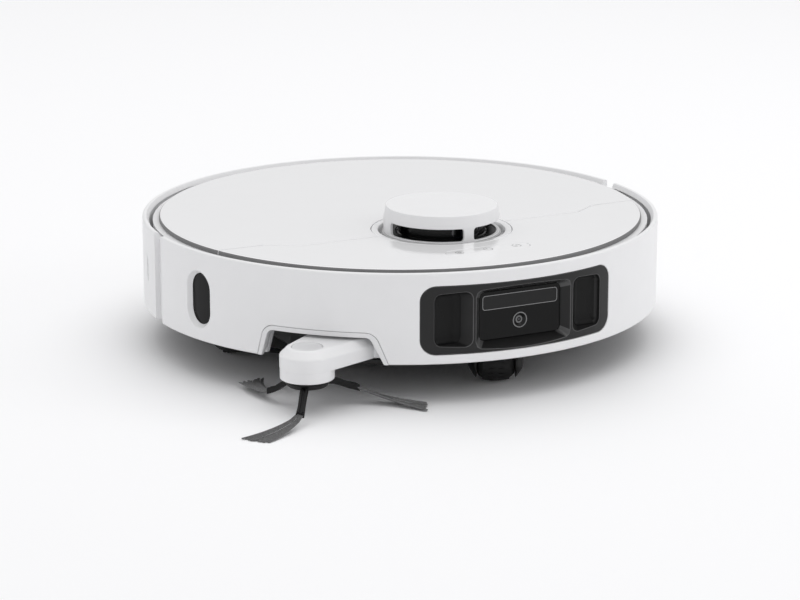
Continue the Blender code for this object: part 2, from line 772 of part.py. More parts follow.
def drive_unit(side, sign):
    """Gearbox on the suspension pivot, with its motor inboard and its axle outboard."""
    low, high = sorted((sign * 93.0, sign * 105.0))
    unit = box("drive_unit_" + side, (low, -46, 6), (high, 24, 50), "grey")
    motor = rod("drive_motor_" + side, 13.0, (sign * 60, -2, 36), (sign * 94, -2, 36),
                segments=SMALL)
    axle = rod("drive_axle_" + side, AXLE_R, (sign * 104, WHEEL_Y, WHEEL_Z),
               (sign * 126, WHEEL_Y, WHEEL_Z), segments=SMALL)
    return fuse(unit, motor, axle)


def drive_rim(side, sign):
    bore = AXLE_R + GAP
    profile = [(0, 131.0), (10, 131.0), (12, 128.0), (22, 128.0), (24, 131.0), (RIM_R, 131.0),
               (RIM_R, 107.5), (bore, 107.5), (bore, 127.0), (0, 127.0)]
    turn = (0, math.radians(90 * sign), 0)
    return turned("drive_rim_" + side, profile, "grey", (0, WHEEL_Y, WHEEL_Z), RIM_STEPS, False, turn)


def drive_tyre(side, sign):
    inner = RIM_R + GAP
    profile = [(inner, WHEEL_OUT), (TYRE_R - 2, WHEEL_OUT), (TYRE_R, WHEEL_OUT - 2.5),
               (TYRE_R, WHEEL_IN + 2.5), (TYRE_R - 2, WHEEL_IN), (inner, WHEEL_IN)]
    turn = (0, math.radians(90 * sign), 0)
    return turned("drive_tyre_" + side, profile, "rubber", (0, WHEEL_Y, WHEEL_Z), ROUND, True, turn)


def caster_axis(distance):
    a = math.radians(CASTER_TURN)
    return (distance * math.cos(a), CASTER_Y + distance * math.sin(a), CASTER_Z)


def caster_fork():
    """Round turntable with a cheek on each side of the wheel and a pivot pin on top."""
    fork = rod("caster_fork", CASTER_FORK_R, (0, CASTER_Y, 8), (0, CASTER_Y, 22.6), "black", ROUND)
    cheeks = rod("caster_cheeks", 11.5, caster_axis(-20), caster_axis(20), segments=SMALL)
    rim = rod("caster_rim", CASTER_FORK_R - 0.1, (0, CASTER_Y, -20), (0, CASTER_Y, 22))
    fuse(fork, keep_inside(cheeks, rim))
    fuse(fork, rod("caster_pin", 5.0, (0, CASTER_Y, 22), (0, CASTER_Y, 35), segments=SMALL))
    reach = CASTER_HALF + 0.5
    return cut(fork, rod("cut_caster_wheel", CASTER_R + 1.0, caster_axis(-reach),
                         caster_axis(reach)))


def caster_wheel():
    half = CASTER_HALF
    profile = [(0, half), (CASTER_R - 3, half), (CASTER_R - 0.6, half - 3), (CASTER_R, 3),
               (CASTER_R, -3), (CASTER_R - 0.6, 3 - half), (CASTER_R - 3, -half), (0, -half)]
    turn = (0, math.radians(90), math.radians(CASTER_TURN))
    return turned("caster_wheel", profile, "rubber", caster_axis(0), 36, False, turn)


def caster_socket():
    profile = [(9, 35), (9, 24.5), (5.3, 24.5), (5.3, 35)]
    return turned("caster_socket", profile, "metal", (0, CASTER_Y, 0), SMALL)


# ---------------------------------------------------------------- mops

def mop_well(side, x):
    """Upturned dish above a mop pad, with a hole for the shaft."""
    radius = MOP_WELL_R
    profile = [(7, MOP_CEILING), (radius, MOP_CEILING), (radius, 2.8), (radius - 1.5, 2.8),
               (radius - 1.5, MOP_CEILING - 2), (7, MOP_CEILING - 2)]
    well = turned("mop_well_" + side, profile, "black", (x, MOP_XY[1], 0), ROUND)
    trim = FRAME_R - FRAME_WALL - GAP
    keep_inside(well, rod("well_limit_" + side, trim, (0, 0, -10), (0, 0, 40), segments=FINE))
    tyre = rod("cut_tyre_" + side, TYRE_R + 4, (x * 1.6, WHEEL_Y, WHEEL_Z),
               (x * 2.1, WHEEL_Y, WHEEL_Z))
    return cut(well, tyre)


def mop_motor(side, x):
    y = MOP_XY[1]
    return rod("mop_motor_" + side, 13.5, (x, y, 21), (x, y, 44), "grey", SMALL)


def mop_shaft(side, x):
    y = MOP_XY[1]
    return rod("mop_shaft_" + side, 5.0, (x, y, 3.6), (x, y, 20.6), "metal", SMALL)


def mop_disc(side, x):
    y = MOP_XY[1]
    disc = rod("mop_disc_" + side, MOP_R - 4, (x, y, 0.6), (x, y, 3.3), "grey")
    return disc


def mop_pad(side, x):
    profile = [(0, 0.3), (MOP_R - 2, 0.3), (MOP_R, -2), (MOP_R, -7.2), (MOP_R - 2, -9.2), (0, -9.2)]
    return turned("mop_pad_" + side, profile, "cloth", (x, MOP_XY[1], 0), ROUND, False)


# ---------------------------------------------------------------- inside

def dust_bin():
    bin_shell = box("dust_bin", BIN_LOW, BIN_HIGH, "clear")
    low = [v + BIN_WALL for v in BIN_LOW]
    high = [BIN_HIGH[0] - BIN_WALL, BIN_HIGH[1] - BIN_WALL, BIN_HIGH[2] + 9]
    cut(bin_shell, box("cut_bin", low, high))
    return cut(bin_shell, box("cut_inlet", (-20, BIN_LOW[1] - 5, 44), (20, BIN_LOW[1] + 5, 60)))


def dust_filter():
    return box("dust_filter", (-50, 66, 38), (50, 75.5, 68), "cloth")


def fan_housing():
    x, y = FAN_XY
    wall = 1.6
    profile = [(9, 63), (FAN_R, 63), (FAN_R, 26), (5, 26), (5, 28), (FAN_R - wall, 28),
               (FAN_R - wall, 61), (9, 61)]
    return turned("fan_housing", profile, "grey", (x, y, 0), 32)


def fan_impeller():
    x, y = FAN_XY
    profile = [(0, 60), (5, 60), (8, 54), (FAN_R - 2.2, 50), (FAN_R - 2.2, 48), (3.5, 48), (3.5, 30),
               (0, 30)]
    return turned("fan_impeller", profile, "grey", (x, y, 0), SMALL, False)


def inner_boxes():
    box("battery_pack", (-48, 84, 46), (48, 148, 69), "grey", 3.0)
    box("water_tank", (-48, 84, 21), (48, 148, 44.5), "clear", 3.0)
    box("main_board", (58, -14, 56), (102, 66, 57.6), "board")
    for name, (x, y) in CLIFF_PLACES.items():
        box(name, (x - 7, y - 4, 10.6), (x + 7, y + 4, 13.4), "clear")
    x, y = CARPET_XY
    rod("carpet_sensor", 9.0, (x, y, 2.6), (x, y, 8.5), "metal", SMALL)
    for side, x in (("left", 30), ("right", -30)):
        contact = box("charging_contact_" + side, (x - 8, 171.9, 22), (x + 8, 180, 30), "copper")
        keep_inside(contact, rod("contact_curve_" + side, BODY_R - GAP, (0, 0, 0), (0, 0, 60),
                                 segments=2 * FINE))


# ---------------------------------------------------------------- assembly

def build():
    chassis_base()
    upper_frame()
    rear_shell()
    front_plate()
    pivot("lid_lift", (0, 60, TOP_Z), top_lid())
    pivot("button_press", (0, BUTTON_Y, TOP_Z), button_strip())
    lidar_seat()
    lidar_base()
    pivot("cap_press", (0, TURRET_Y, CAP_BASE), turret_cap())
    pivot("lidar_spin", (0, TURRET_Y, 70), lidar_head())
    pivot("bumper_press", (0, -BODY_R, 40), bumper(), sensor_bezel(), side_sensor_window())
    sensor_window()
    laser_bar()
    camera_lens()
    camera_module()
    arm_motor()
    arm_bay()
    pivot("arm_swing", (*ARM_PIVOT, ARM_LOW), side_brush_arm(), arm_cap())
    pivot("side_brush_spin", (*BRUSH_XY, HUB_LOW), side_brush())
    brush_housing()
    brush_guard()
    brush_motor()
    pivot("main_brush_spin", (0, ROLLER_Y, ROLLER_Z), main_brush())
    for side, sign in (("left", 1), ("right", -1)):
        wheel = (sign * WHEEL_IN, WHEEL_Y, WHEEL_Z)
        pivot("suspension_" + side, (sign * 99, *SUSPENSION_YZ), drive_unit(side, sign))
        pivot("wheel_spin_" + side, wheel, drive_rim(side, sign), drive_tyre(side, sign))
        x = sign * MOP_XY[0]
        mop_well(side, x)
        pivot("mop_lift_" + side, (x, MOP_XY[1], 30), mop_motor(side, x))
        pivot("mop_spin_" + side, (x, MOP_XY[1], 0), mop_shaft(side, x), mop_disc(side, x),
              mop_pad(side, x))
    caster_socket()
    pivot("caster_swivel", (0, CASTER_Y, 22), caster_fork())
    pivot("caster_roll", caster_axis(0), caster_wheel())
    pivot("bin_lift", (0, 35, 71), dust_bin(), dust_filter())
    fan_housing()
    pivot("fan_spin", (*FAN_XY, 48), fan_impeller())
    inner_boxes()


clear_scene()
PARTS = collection("robotic_floor_cleaner")
CUTTERS = collection("cutters")
build()
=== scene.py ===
"""Finished surfaces of a round robotic floor cleaner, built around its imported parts.

Every shape is drawn in millimetres and becomes metres in publish(). The front faces -Y. A wall that
follows the round body is drawn flat first: X is the length along the outer face, Y is minus the
radius and Z is the height. It is cut and rounded there, and roll() then bends it to the body.
"""
import json
import math
import random

import bmesh
import bpy
from mathutils import Matrix, Vector


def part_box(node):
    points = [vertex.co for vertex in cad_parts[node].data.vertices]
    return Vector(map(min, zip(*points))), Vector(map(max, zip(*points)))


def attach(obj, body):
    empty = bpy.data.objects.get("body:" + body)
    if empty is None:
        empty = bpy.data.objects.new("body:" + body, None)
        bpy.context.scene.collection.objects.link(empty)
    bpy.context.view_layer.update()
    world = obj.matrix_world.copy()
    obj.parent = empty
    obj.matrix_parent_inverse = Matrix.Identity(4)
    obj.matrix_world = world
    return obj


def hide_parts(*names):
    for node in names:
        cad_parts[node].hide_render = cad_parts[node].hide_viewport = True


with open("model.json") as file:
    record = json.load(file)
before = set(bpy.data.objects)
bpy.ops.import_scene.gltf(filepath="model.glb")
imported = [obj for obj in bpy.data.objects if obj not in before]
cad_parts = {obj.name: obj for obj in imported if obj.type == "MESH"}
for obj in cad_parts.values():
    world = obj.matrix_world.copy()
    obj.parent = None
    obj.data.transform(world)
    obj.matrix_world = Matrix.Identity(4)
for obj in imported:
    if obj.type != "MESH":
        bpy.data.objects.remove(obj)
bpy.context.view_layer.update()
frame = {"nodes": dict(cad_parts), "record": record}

MM = 0.001
QUARTER = math.pi / 2


def span(node):
    """Lowest and highest corner of a CAD node, in millimetres."""
    low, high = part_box(node)
    return [v / MM for v in low], [v / MM for v in high]


def measure(node):
    """Middle and half size of a CAD node, in millimetres."""
    low, high = span(node)
    return [(a + b) / 2 for a, b in zip(low, high)], [(b - a) / 2 for a, b in zip(low, high)]


# Body
BODY_R = -span("bumper")[0][1]
TOP_Z = span("bumper")[1][2]
SHELL_LOW = span("bumper")[0][2]
FLOOR_Z = span("drive_tyre_left")[0][2]
DECK_Z = span("upper_frame")[1][2]
PLATE_R = span("top_lid")[1][1]
PLATE_LOW = span("top_lid")[0][2]
WALL = 2.5
REAR_WALL = 4.0
REACH = 15.0                   # how far a cutter passes the outer face on both sides
LIP_IN = 172.2
SHELF_R = 170.4
BUMPER_END = 91.1
REAR_END = 95.2
TONGUE_END = 88.0
TONGUE = (171.6, 169.3)
ROLL_STEP = 1.5                # degrees between bend lines

# Openings of the bumper
RECESS = (69.1, 23.0, 68.0, 10.0)          # half width, low, high, corner
PILL_ANGLE = -75.55
PILL_HALF = 12.05
PILL_MID_Z = 44.5
PILL_HALF_Z = 19.1
PILL_CHAMFER = 2.05
PILL_DEPTH = 3.35
GATE_ANGLES = (-57.6, -30.6)
GATE_TOP_ANGLES = (-55.9, -33.6)
GATE_TOP = 34.5
GATE_TRIM = 3.3
GATE_CORNER = 4.6
GATE_DEPTH = 3.2

# Turret
TURRET_Y = measure("lidar_head")[0][1]
CAP_TOP = span("turret_cap")[1][2]
CAP_LOW = span("turret_cap")[0][2]
CAP_LIP_R = span("turret_cap")[1][0]
WINDOW_LOW = 76.0
WINDOW_TOP = 84.5
CAP_R = 37.0
BAND_R = 38.5
WINDOWS = ((5.5, 89.0), (-89.0, -5.5), (117.0, 243.0))
SEAT_R = span("lidar_seat")[1][0]

# Seam between the fixed front plate and the lift-off lid
SPLIT_Y = -61.0
SPLIT_BACK_Y = -48.6
SPLIT_EDGE_Y = -47.9
SPLIT_IN_X = 104.0
SPLIT_OUT_X = 123.0
SEAM = 0.6

# Tyres, vent and caster
TYRE_LUGS = 60
VENT_ANGLE = -101.8
CASTER_TURN = -27.3            # heading of its axle, degrees about Z
CASTER_HALF = 12.0

# Side brush
ARM_PIVOT = (-70.0, -137.0)
BRUSH_XY = tuple(measure("arm_cap")[0][:2])
ARM_LOW = 19.0
ARM_HIGH = span("side_brush_arm")[1][2]
ARM_TIP_LOW = span("side_brush_arm")[0][2]
ARM_TIP_R = 17.5
ARM_CHAMFER = 4.8
STEM_ANGLES = (112.0, 232.0, 352.0)
BRISTLE_R = 76.0


# ---------------------------------------------------------------- drawing

def polar(angle, radius, centre=(0.0, 0.0)):
    """A plan point at an angle from straight ahead, positive towards +X."""
    a = math.radians(angle)
    return (centre[0] + radius * math.sin(a), centre[1] - radius * math.cos(a))


def arc(centre, radius, start, end, count):
    """Plan points on an arc, with angles from +X."""
    turns = [math.radians(start + (end - start) * i / count) for i in range(count + 1)]
    return [(centre[0] + radius * math.cos(a), centre[1] + radius * math.sin(a)) for a in turns]


def filleted(corners, steps=4, closed=True):
    """A line through (x, y, radius) corners, each one rounded by its radius."""
    line = []
    last = len(corners) - 1
    for i, (x, y, radius) in enumerate(corners):
        here = Vector((x, y))
        if not radius or (not closed and i in (0, last)):
            line.append((x, y))
            continue
        before = (Vector(corners[i - 1][:2]) - here).normalized()
        after = (Vector(corners[(i + 1) % (last + 1)][:2]) - here).normalized()
        half = before.angle(after) / 2
        middle = here + (before + after).normalized() * radius / math.sin(half)
        spoke = here + before * radius / math.tan(half) - middle
        end = here + after * radius / math.tan(half) - middle
        start_turn = math.atan2(spoke.y, spoke.x)
        sweep = (math.atan2(end.y, end.x) - start_turn + math.pi) % math.tau - math.pi
        for k in range(steps + 1):
            turn = start_turn + sweep * k / steps
            line.append((middle.x + radius * math.cos(turn), middle.y + radius * math.sin(turn)))
    return line


def rounded(half_x, half_y, corner, steps=8, centre=(0.0, 0.0)):
    """A rectangle with round corners."""
    cx, cy = centre
    corners = [(cx + sx * half_x, cy + sy * half_y, corner)
               for sx, sy in ((1, 1), (-1, 1), (-1, -1), (1, -1))]
    return filleted(corners, steps)


def circle(centre, radius, count):
    """Plan points on a full circle, each one once."""
    return arc(centre, radius, 0, 360, count)[:-1]


def moved(bm, matrix):
    """The same shape, moved by a matrix."""
    bmesh.ops.transform(bm, verts=bm.verts, matrix=matrix)
    return bm


def prism(points, low, high):
    """An outline in X and Y, extruded along Z."""
    bm = bmesh.new()
    verts = [bm.verts.new((x, y, low)) for x, y in points]
    face = bm.faces.new(verts)
    grown = bmesh.ops.extrude_face_region(bm, geom=[face])["geom"]
    far = [v for v in grown if isinstance(v, bmesh.types.BMVert)]
    bmesh.ops.translate(bm, verts=far, vec=(0, 0, high - low))
    bmesh.ops.recalc_face_normals(bm, faces=bm.faces)
    return bm


def upright(points, near, far):
    """An outline in X and height, extruded along Y from near to far."""
    swap_y_z = Matrix(((1, 0, 0, 0), (0, 0, 1, 0), (0, 1, 0, 0), (0, 0, 0, 1)))
    bm = moved(prism(points, near, far), swap_y_z)
    bmesh.ops.recalc_face_normals(bm, faces=bm.faces)
    return bm


def through_wall(points):
    """A cutter for an outline that passes right through a flat-drawn wall."""
    return upright(points, -BODY_R - REACH, -BODY_R + REACH)


def box(low, high):
    bm = bmesh.new()
    bmesh.ops.create_cube(bm, size=1.0)
    bmesh.ops.scale(bm, verts=bm.verts, vec=[b - a for a, b in zip(low, high)])
    bmesh.ops.translate(bm, verts=bm.verts, vec=[(a + b) / 2 for a, b in zip(low, high)])
    return bm


def lathe(profile, steps=96, closed=True, place=None):
    """(radius, height) points turned about Z, or about another axis after a placing matrix."""
    bm = bmesh.new()
    verts = [bm.verts.new((r, 0, z)) for r, z in profile]
    pairs = list(zip(verts, verts[1:]))
    if closed:
        pairs.append((verts[-1], verts[0]))
    edges = [bm.edges.new(pair) for pair in pairs]
    bmesh.ops.spin(bm, geom=verts + edges, cent=(0, 0, 0), axis=(0, 0, 1), angle=math.tau,
                   steps=steps, use_merge=True)
    bmesh.ops.remove_doubles(bm, verts=bm.verts, dist=0.001)
    bmesh.ops.recalc_face_normals(bm, faces=bm.faces)
    return bm if place is None else moved(bm, place)


def at(x, y, z=0.0):
    return Matrix.Translation((x, y, z))


def facing_front(x, y, z):
    """Places a lathe shape with its axis along -Y."""
    return at(x, y, z) @ Matrix.Rotation(QUARTER, 4, "X")


def bevel(bm, edges, width, segments=3):
    return bmesh.ops.bevel(bm, geom=edges, offset=width, offset_type="OFFSET", segments=segments,
                           profile=0.5, affect="EDGES", material=-1)["faces"]


def corners_of(bm, test, angle=30.0):
    """Edges whose two faces meet at more than an angle and whose ends pass a test."""
    least = math.radians(angle)
    return [e for e in bm.edges if len(e.link_faces) == 2 and e.calc_face_angle() > least
            and all(test(v.co) for v in e.verts)]


def round_level(bm, height, width, segments=2):
    """Round the sharp edges that lie at one height."""
    return bevel(bm, corners_of(bm, lambda co: abs(co.z - height) < 0.01), width, segments)


def mesh_of(name, bm):
    mesh = bpy.data.meshes.new(name)
    bm.to_mesh(mesh)
    bm.free()
    return mesh


def put(name, data):
    """Add an object to the scene."""
    item = bpy.data.objects.new(name, data)
    bpy.context.scene.collection.objects.link(item)
    return item


def joined(shapes):
    """One shape from several separate ones, without a boolean."""
    whole = bmesh.new()
    for shape in shapes:
        mesh = mesh_of("shape", shape)
        whole.from_mesh(mesh)
        bpy.data.meshes.remove(mesh)
    return whole


def combine(bm, tools, operation="DIFFERENCE"):
    """Cut a shape with others, or join them to it, and return the new shape."""
    target, *helpers = [put("temporary", mesh_of("temporary", shape)) for shape in (bm, *tools)]
    for helper in helpers:
        step = target.modifiers.new("step", "BOOLEAN")
        step.operation = operation
        step.solver = "EXACT"
        step.object = helper
    graph = bpy.context.evaluated_depsgraph_get()
    mesh = bpy.data.meshes.new_from_object(target.evaluated_get(graph))
    result = bmesh.new()
    result.from_mesh(mesh)
    for item in [target] + helpers:
        old = item.data
        bpy.data.objects.remove(item, do_unlink=True)
        bpy.data.meshes.remove(old)
    bpy.data.meshes.remove(mesh)
    bmesh.ops.remove_doubles(result, verts=result.verts, dist=0.001)
    bmesh.ops.dissolve_limit(result, angle_limit=math.radians(0.5), verts=result.verts,
                             edges=result.edges, delimit=set())
    return result


def along(angle):
    """Length along the outer face for an angle from straight ahead."""
    return BODY_R * math.radians(angle)


def unrolled(x):
    """Length along the outer face for a plan distance from the middle."""
    return BODY_R * math.asin(x / BODY_R)


def wall(profile, start, end):
    """A flat-drawn wall: a (radius, height) profile from one length to another."""
    lengthwise = Matrix(((0, 0, 1, 0), (1, 0, 0, 0), (0, 1, 0, 0), (0, 0, 0, 1)))
    bm = moved(prism([(-r, z) for r, z in profile], start, end), lengthwise)
    bmesh.ops.recalc_face_normals(bm, faces=bm.faces)
    return bm


def roll(bm, radius=None, centre=(0.0, 0.0), step=ROLL_STEP):
    """Bend a flat-drawn wall to the round body."""
    radius = radius or BODY_R
    pitch = radius * math.radians(step)
    low = min(v.co.x for v in bm.verts)
    high = max(v.co.x for v in bm.verts)
    for i in range(math.ceil(low / pitch), math.floor(high / pitch) + 1):
        everything = bm.verts[:] + bm.edges[:] + bm.faces[:]
        bmesh.ops.bisect_plane(bm, geom=everything, dist=0.0005, plane_co=(i * pitch, 0, 0),
                               plane_no=(1, 0, 0))
    for v in bm.verts:
        turn = v.co.x / radius
        distance = -v.co.y
        v.co.x = centre[0] + distance * math.sin(turn)
        v.co.y = centre[1] - distance * math.cos(turn)
    return bm


# ---------------------------------------------------------------- finishes

def material(name, colour, roughness, metallic=0.0, grain=0.0, grain_scale=900.0, mottle=0.03,
             mottle_scale=60.0, coat=0.0, specular=0.5):
    """A moulded or machined finish: uneven roughness, a little colour drift and a fine grain."""
    mat = bpy.data.materials.new(name)
    mat.use_nodes = True
    nodes, links = mat.node_tree.nodes, mat.node_tree.links
    shader = nodes["Principled BSDF"]
    shader.inputs["Metallic"].default_value = metallic
    shader.inputs["Coat Weight"].default_value = coat
    shader.inputs["Coat Roughness"].default_value = 0.04
    shader.inputs["Specular IOR Level"].default_value = specular
    place = nodes.new("ShaderNodeTexCoord")
    drift = noise(nodes, links, place, mottle_scale, 3.0)
    ramp = nodes.new("ShaderNodeValToRGB")
    dark, light = ramp.color_ramp.elements
    dark.position, dark.color = 0.3, [*(c * (1 - mottle) for c in colour), 1.0]
    light.position, light.color = 0.7, [*(min(1.0, c * (1 + mottle)) for c in colour), 1.0]
    links.new(drift.outputs["Fac"], ramp.inputs["Fac"])
    links.new(ramp.outputs["Color"], shader.inputs["Base Color"])
    fine = noise(nodes, links, place, grain_scale, 4.0)
    spread = nodes.new("ShaderNodeMapRange")
    spread.inputs["To Min"].default_value = roughness * 0.88
    spread.inputs["To Max"].default_value = min(1.0, roughness * 1.12)
    links.new(fine.outputs["Fac"], spread.inputs["Value"])
    links.new(spread.outputs["Result"], shader.inputs["Roughness"])
    if grain:
        bump = nodes.new("ShaderNodeBump")
        bump.inputs["Strength"].default_value = grain
        bump.inputs["Distance"].default_value = 0.0001
        links.new(fine.outputs["Fac"], bump.inputs["Height"])
        links.new(bump.outputs["Normal"], shader.inputs["Normal"])
    return mat


def noise(nodes, links, place, scale, detail):
    node = nodes.new("ShaderNodeTexNoise")
    node.inputs["Scale"].default_value = scale
    node.inputs["Detail"].default_value = detail
    links.new(place.outputs["Object"], node.inputs["Vector"])
    return node


def grey(level):
    """Linear colour of a display grey from 0 to 255, a touch cool."""
    value = level / 255
    linear = value / 12.92 if value <= 0.04045 else ((value + 0.055) / 1.055) ** 2.4
    return (linear, linear, min(1.0, linear * 1.01))


def pile_cloth():
    """Microfibre with short loops, lighter at their tips."""
    mat = material("microfibre_pile", grey(150), 0.95, grain=0.9, grain_scale=650.0, mottle=0.25,
                   mottle_scale=420.0, specular=0.2)
    shader = mat.node_tree.nodes["Principled BSDF"]
    shader.inputs["Sheen Weight"].default_value = 0.4
    shader.inputs["Sheen Roughness"].default_value = 0.4
    return mat


def tinted_clear():
    """Smoked see-through plastic."""
    mat = material("smoke_clear", grey(70), 0.08, coat=0.6)
    shader = mat.node_tree.nodes["Principled BSDF"]
    shader.inputs["Transmission Weight"].default_value = 0.35
    shader.inputs["IOR"].default_value = 1.49
    return mat


FINISH = {                     # finish: (material, the record's slot)
    "white": (material("satin_white", grey(238), 0.36, grain=0.12, mottle=0.008), "white_shell"),
    "trim": (material("satin_white_trim", grey(232), 0.33, grain=0.10, mottle=0.008),
             "white_shell"),
    "deck": (material("moulded_white", grey(228), 0.45, grain=0.25, mottle=0.015), "white_shell"),
    "plate": (material("polished_white", grey(243), 0.10, mottle=0.004, coat=0.35), "gloss_white"),
    "soft_grey": (material("light_grey", grey(176), 0.4, grain=0.1), "white_shell"),
    "icon": (material("printed_grey", grey(112), 0.5), "gloss_white"),
    "panel": (material("dark_panel", grey(30), 0.38, grain=0.3, mottle=0.06, specular=0.3),
              "gloss_black"),
    # Painted glint: a lighter grey laid on the sensor panel's rounded ridges and mitre corners to stand
    # in for highlights.
    "edge": (material("painted_edge_glint", grey(74), 0.3, mottle=0.1), "gloss_black"),
    # Painted shade inside the sensor panel's side pockets; the same near-black is also the plain colour
    # of the cliff sensor panes.
    "pocket": (material("pocket_shade_and_pane_black", grey(15), 0.45, grain=0.2, specular=0.2), "gloss_black"),
    "pearl": (material("spun_disc", grey(236), 0.34, metallic=0.55), "white_shell"),
    "glass": (material("black_glass", grey(14), 0.05, specular=0.16), "gloss_black"),
    "bar": (material("infrared_window", grey(24), 0.14, specular=0.25), "gloss_black"),
    "drum": (material("drum_black", grey(12), 0.2, specular=0.25), "gloss_black"),
    "silver": (material("thin_silver", grey(135), 0.35, metallic=0.6), "metal"),
    "lens": (material("lens_glass", (0.010, 0.010, 0.016), 0.03, coat=1.0), "metal"),
    "black": (material("satin_black", grey(22), 0.45, grain=0.35, mottle=0.08, specular=0.3),
              "black_plastic"),
    "grey": (material("mid_grey", grey(120), 0.5, grain=0.3), "grey_plastic"),
    "rubber": (material("soft_rubber", grey(28), 0.62, grain=0.4, mottle=0.08, specular=0.3),
               "rubber"),
    "tyre": (material("tyre_rubber", grey(42), 0.75, grain=0.6, mottle=0.1), "tyre"),
    "stem": (material("stem_rubber", grey(18), 0.5, grain=0.3, specular=0.25), "bristle"),
    "bristle": (material("nylon_bristle", grey(112), 0.5, mottle=0.30, mottle_scale=900.0,
                         grain=0.2), "bristle"),
    "steel": (material("satin_steel", grey(190), 0.3, metallic=1.0, grain=0.1), "metal"),
    "gold": (material("plated_contact", (0.78, 0.60, 0.30), 0.25, metallic=1.0), "contact"),
    "cloth": (pile_cloth(), "cloth"),
    "smoke": (tinted_clear(), "smoke"),
    "board": (material("solder_mask", (0.02, 0.16, 0.08), 0.4, mottle=0.25, mottle_scale=150.0),
              "board"),
}
SLOT_FINISH = {"white_shell": "deck", "gloss_white": "plate", "grey_plastic": "grey",
               "black_plastic": "black", "gloss_black": "panel", "rubber": "rubber", "tyre": "tyre",
               "bristle": "bristle", "metal": "steel", "contact": "gold", "cloth": "cloth",
               "smoke": "smoke", "board": "board"}


def publish(name, bm, finish, body, *stands_for, sharp=32.0, extra=()):
    """Turn a finished shape into a named piece that rides on a body."""
    bmesh.ops.scale(bm, verts=bm.verts, vec=(MM, MM, MM))
    mesh = mesh_of(name, bm)
    mesh.shade_smooth()
    mesh.set_sharp_from_angle(angle=math.radians(sharp))
    item = put(name, mesh)
    for key in (finish, *extra):
        mesh.materials.append(FINISH[key][0])
    even = item.modifiers.new("even_shading", "WEIGHTED_NORMAL")
    even.keep_sharp = True
    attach(item, body)
    if stands_for:
        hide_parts(*stands_for)
    return item


def dress_cad_nodes():
    """Give every CAD node that stays visible the finish of its slot."""
    for part in frame["record"]["subparts"]:
        node = frame["nodes"][part["node"]]
        node.data.materials.clear()
        node.data.materials.append(FINISH[SLOT_FINISH[part["material_slot"]]][0])


# ---------------------------------------------------------------- outer shells

def shell_profile(inner):
    """Wall with a raised round lip, from its lower outer edge upwards."""
    return filleted([(BODY_R, SHELL_LOW, 1.3), (BODY_R, TOP_Z, 1.5), (LIP_IN, TOP_Z, 0.7),
                     (SHELF_R, PLATE_LOW, 0.0), (inner, PLATE_LOW, 0.0), (inner, SHELL_LOW, 0.6)])


def on_outer_face(co):
    return abs(co.y + BODY_R) < 0.01


def gate_path(grow, radius):
    """Left foot, round top corners and right foot of the arm's gate, in flat length and height."""
    left, right = (along(a) for a in GATE_ANGLES)
    top_left, top_right = (along(a) for a in GATE_TOP_ANGLES)
    top = GATE_TOP + grow
    return filleted([(left - grow - 0.9, 5.0, 0), (left - grow, SHELL_LOW, 0),
                     (top_left - grow, top, radius), (top_right + grow, top, radius),
                     (right + grow, SHELL_LOW, 0), (right + grow + 0.9, 5.0, 0)], 8, False)


def pill(grow, slack=0.1):
    """Stadium outline of the side sensor's opening, grown by a distance."""
    return rounded(PILL_HALF + grow, PILL_HALF_Z + grow, PILL_HALF + grow - slack, 12,
                   (along(PILL_ANGLE), PILL_MID_Z))


def pill_cutter():
    """Tapered stadium that leaves a chamfered surround for the side sensor."""
    rise = 0.5
    grow = rise * PILL_CHAMFER / PILL_DEPTH
    cutter = upright(pill(grow, 0.05), -BODY_R - rise, -BODY_R + PILL_DEPTH)
    inner = [v for v in cutter.verts if v.co.y > -BODY_R]
    factor = ((PILL_HALF - PILL_CHAMFER) / (PILL_HALF + grow), 1.0,
              (PILL_HALF_Z - PILL_CHAMFER) / (PILL_HALF_Z + grow))
    bmesh.ops.scale(cutter, verts=inner, vec=factor, space=at(-along(PILL_ANGLE), 0, -PILL_MID_Z))
    return cutter


def make_bumper():
    half, low, high, corner = RECESS
    centre = (0.0, (low + high) / 2)
    recess = [(unrolled(x), z) for x, z in rounded(half, (high - low) / 2, corner, 10, centre)]
    boss = upright(pill(2), -BODY_R + WALL - 1, -BODY_R + PILL_DEPTH)
    shell = wall(shell_profile(BODY_R - WALL), along(-BUMPER_END), along(BUMPER_END))
    shell = combine(shell, [boss], "UNION")
    shell = combine(shell, [through_wall(recess), pill_cutter(),
                            through_wall(gate_path(GATE_TRIM, GATE_CORNER + 4.6))])
    bevel(shell, corners_of(shell, lambda co: on_outer_face(co) and co.z > SHELL_LOW + 1.2), 0.55, 3)
    publish("bumper_shell", roll(shell), "white", "bumper", "bumper")
    make_gate_frame()
    make_side_window()


def gate_band(outer, inner, near, far, rounding, segments):
    """A band between two gate paths, rounded on its front."""
    band = upright(outer[1:-1] + inner[1:-1][::-1], near, far)
    bevel(band, corners_of(band, lambda co: abs(co.y - near) < 0.01), rounding, segments)
    return roll(band)


def make_gate_frame():
    """Trim round the arm's gate on the bumper, and a liner behind it on the chassis."""
    seam = 0.22
    trim = gate_band(gate_path(GATE_TRIM - seam, GATE_CORNER + 4.4), gate_path(0.0, GATE_CORNER),
                     -BODY_R + 0.05, -BODY_R + GATE_DEPTH, 0.45, 3)
    publish("gate_frame", trim, "trim", "bumper")
    liner = gate_band(gate_path(2.2, GATE_CORNER + 2), gate_path(0.5, GATE_CORNER),
                      -BODY_R + 7.0, -BODY_R + 10.4, 0.3, 2)
    publish("gate_liner", liner, "trim", "chassis")


def make_side_window():
    pane = upright(pill(-0.8), -BODY_R + PILL_DEPTH + 0.2, -BODY_R + PILL_DEPTH + 1.5)
    publish("side_window", roll(pane), "glass", "bumper", "side_sensor_window")


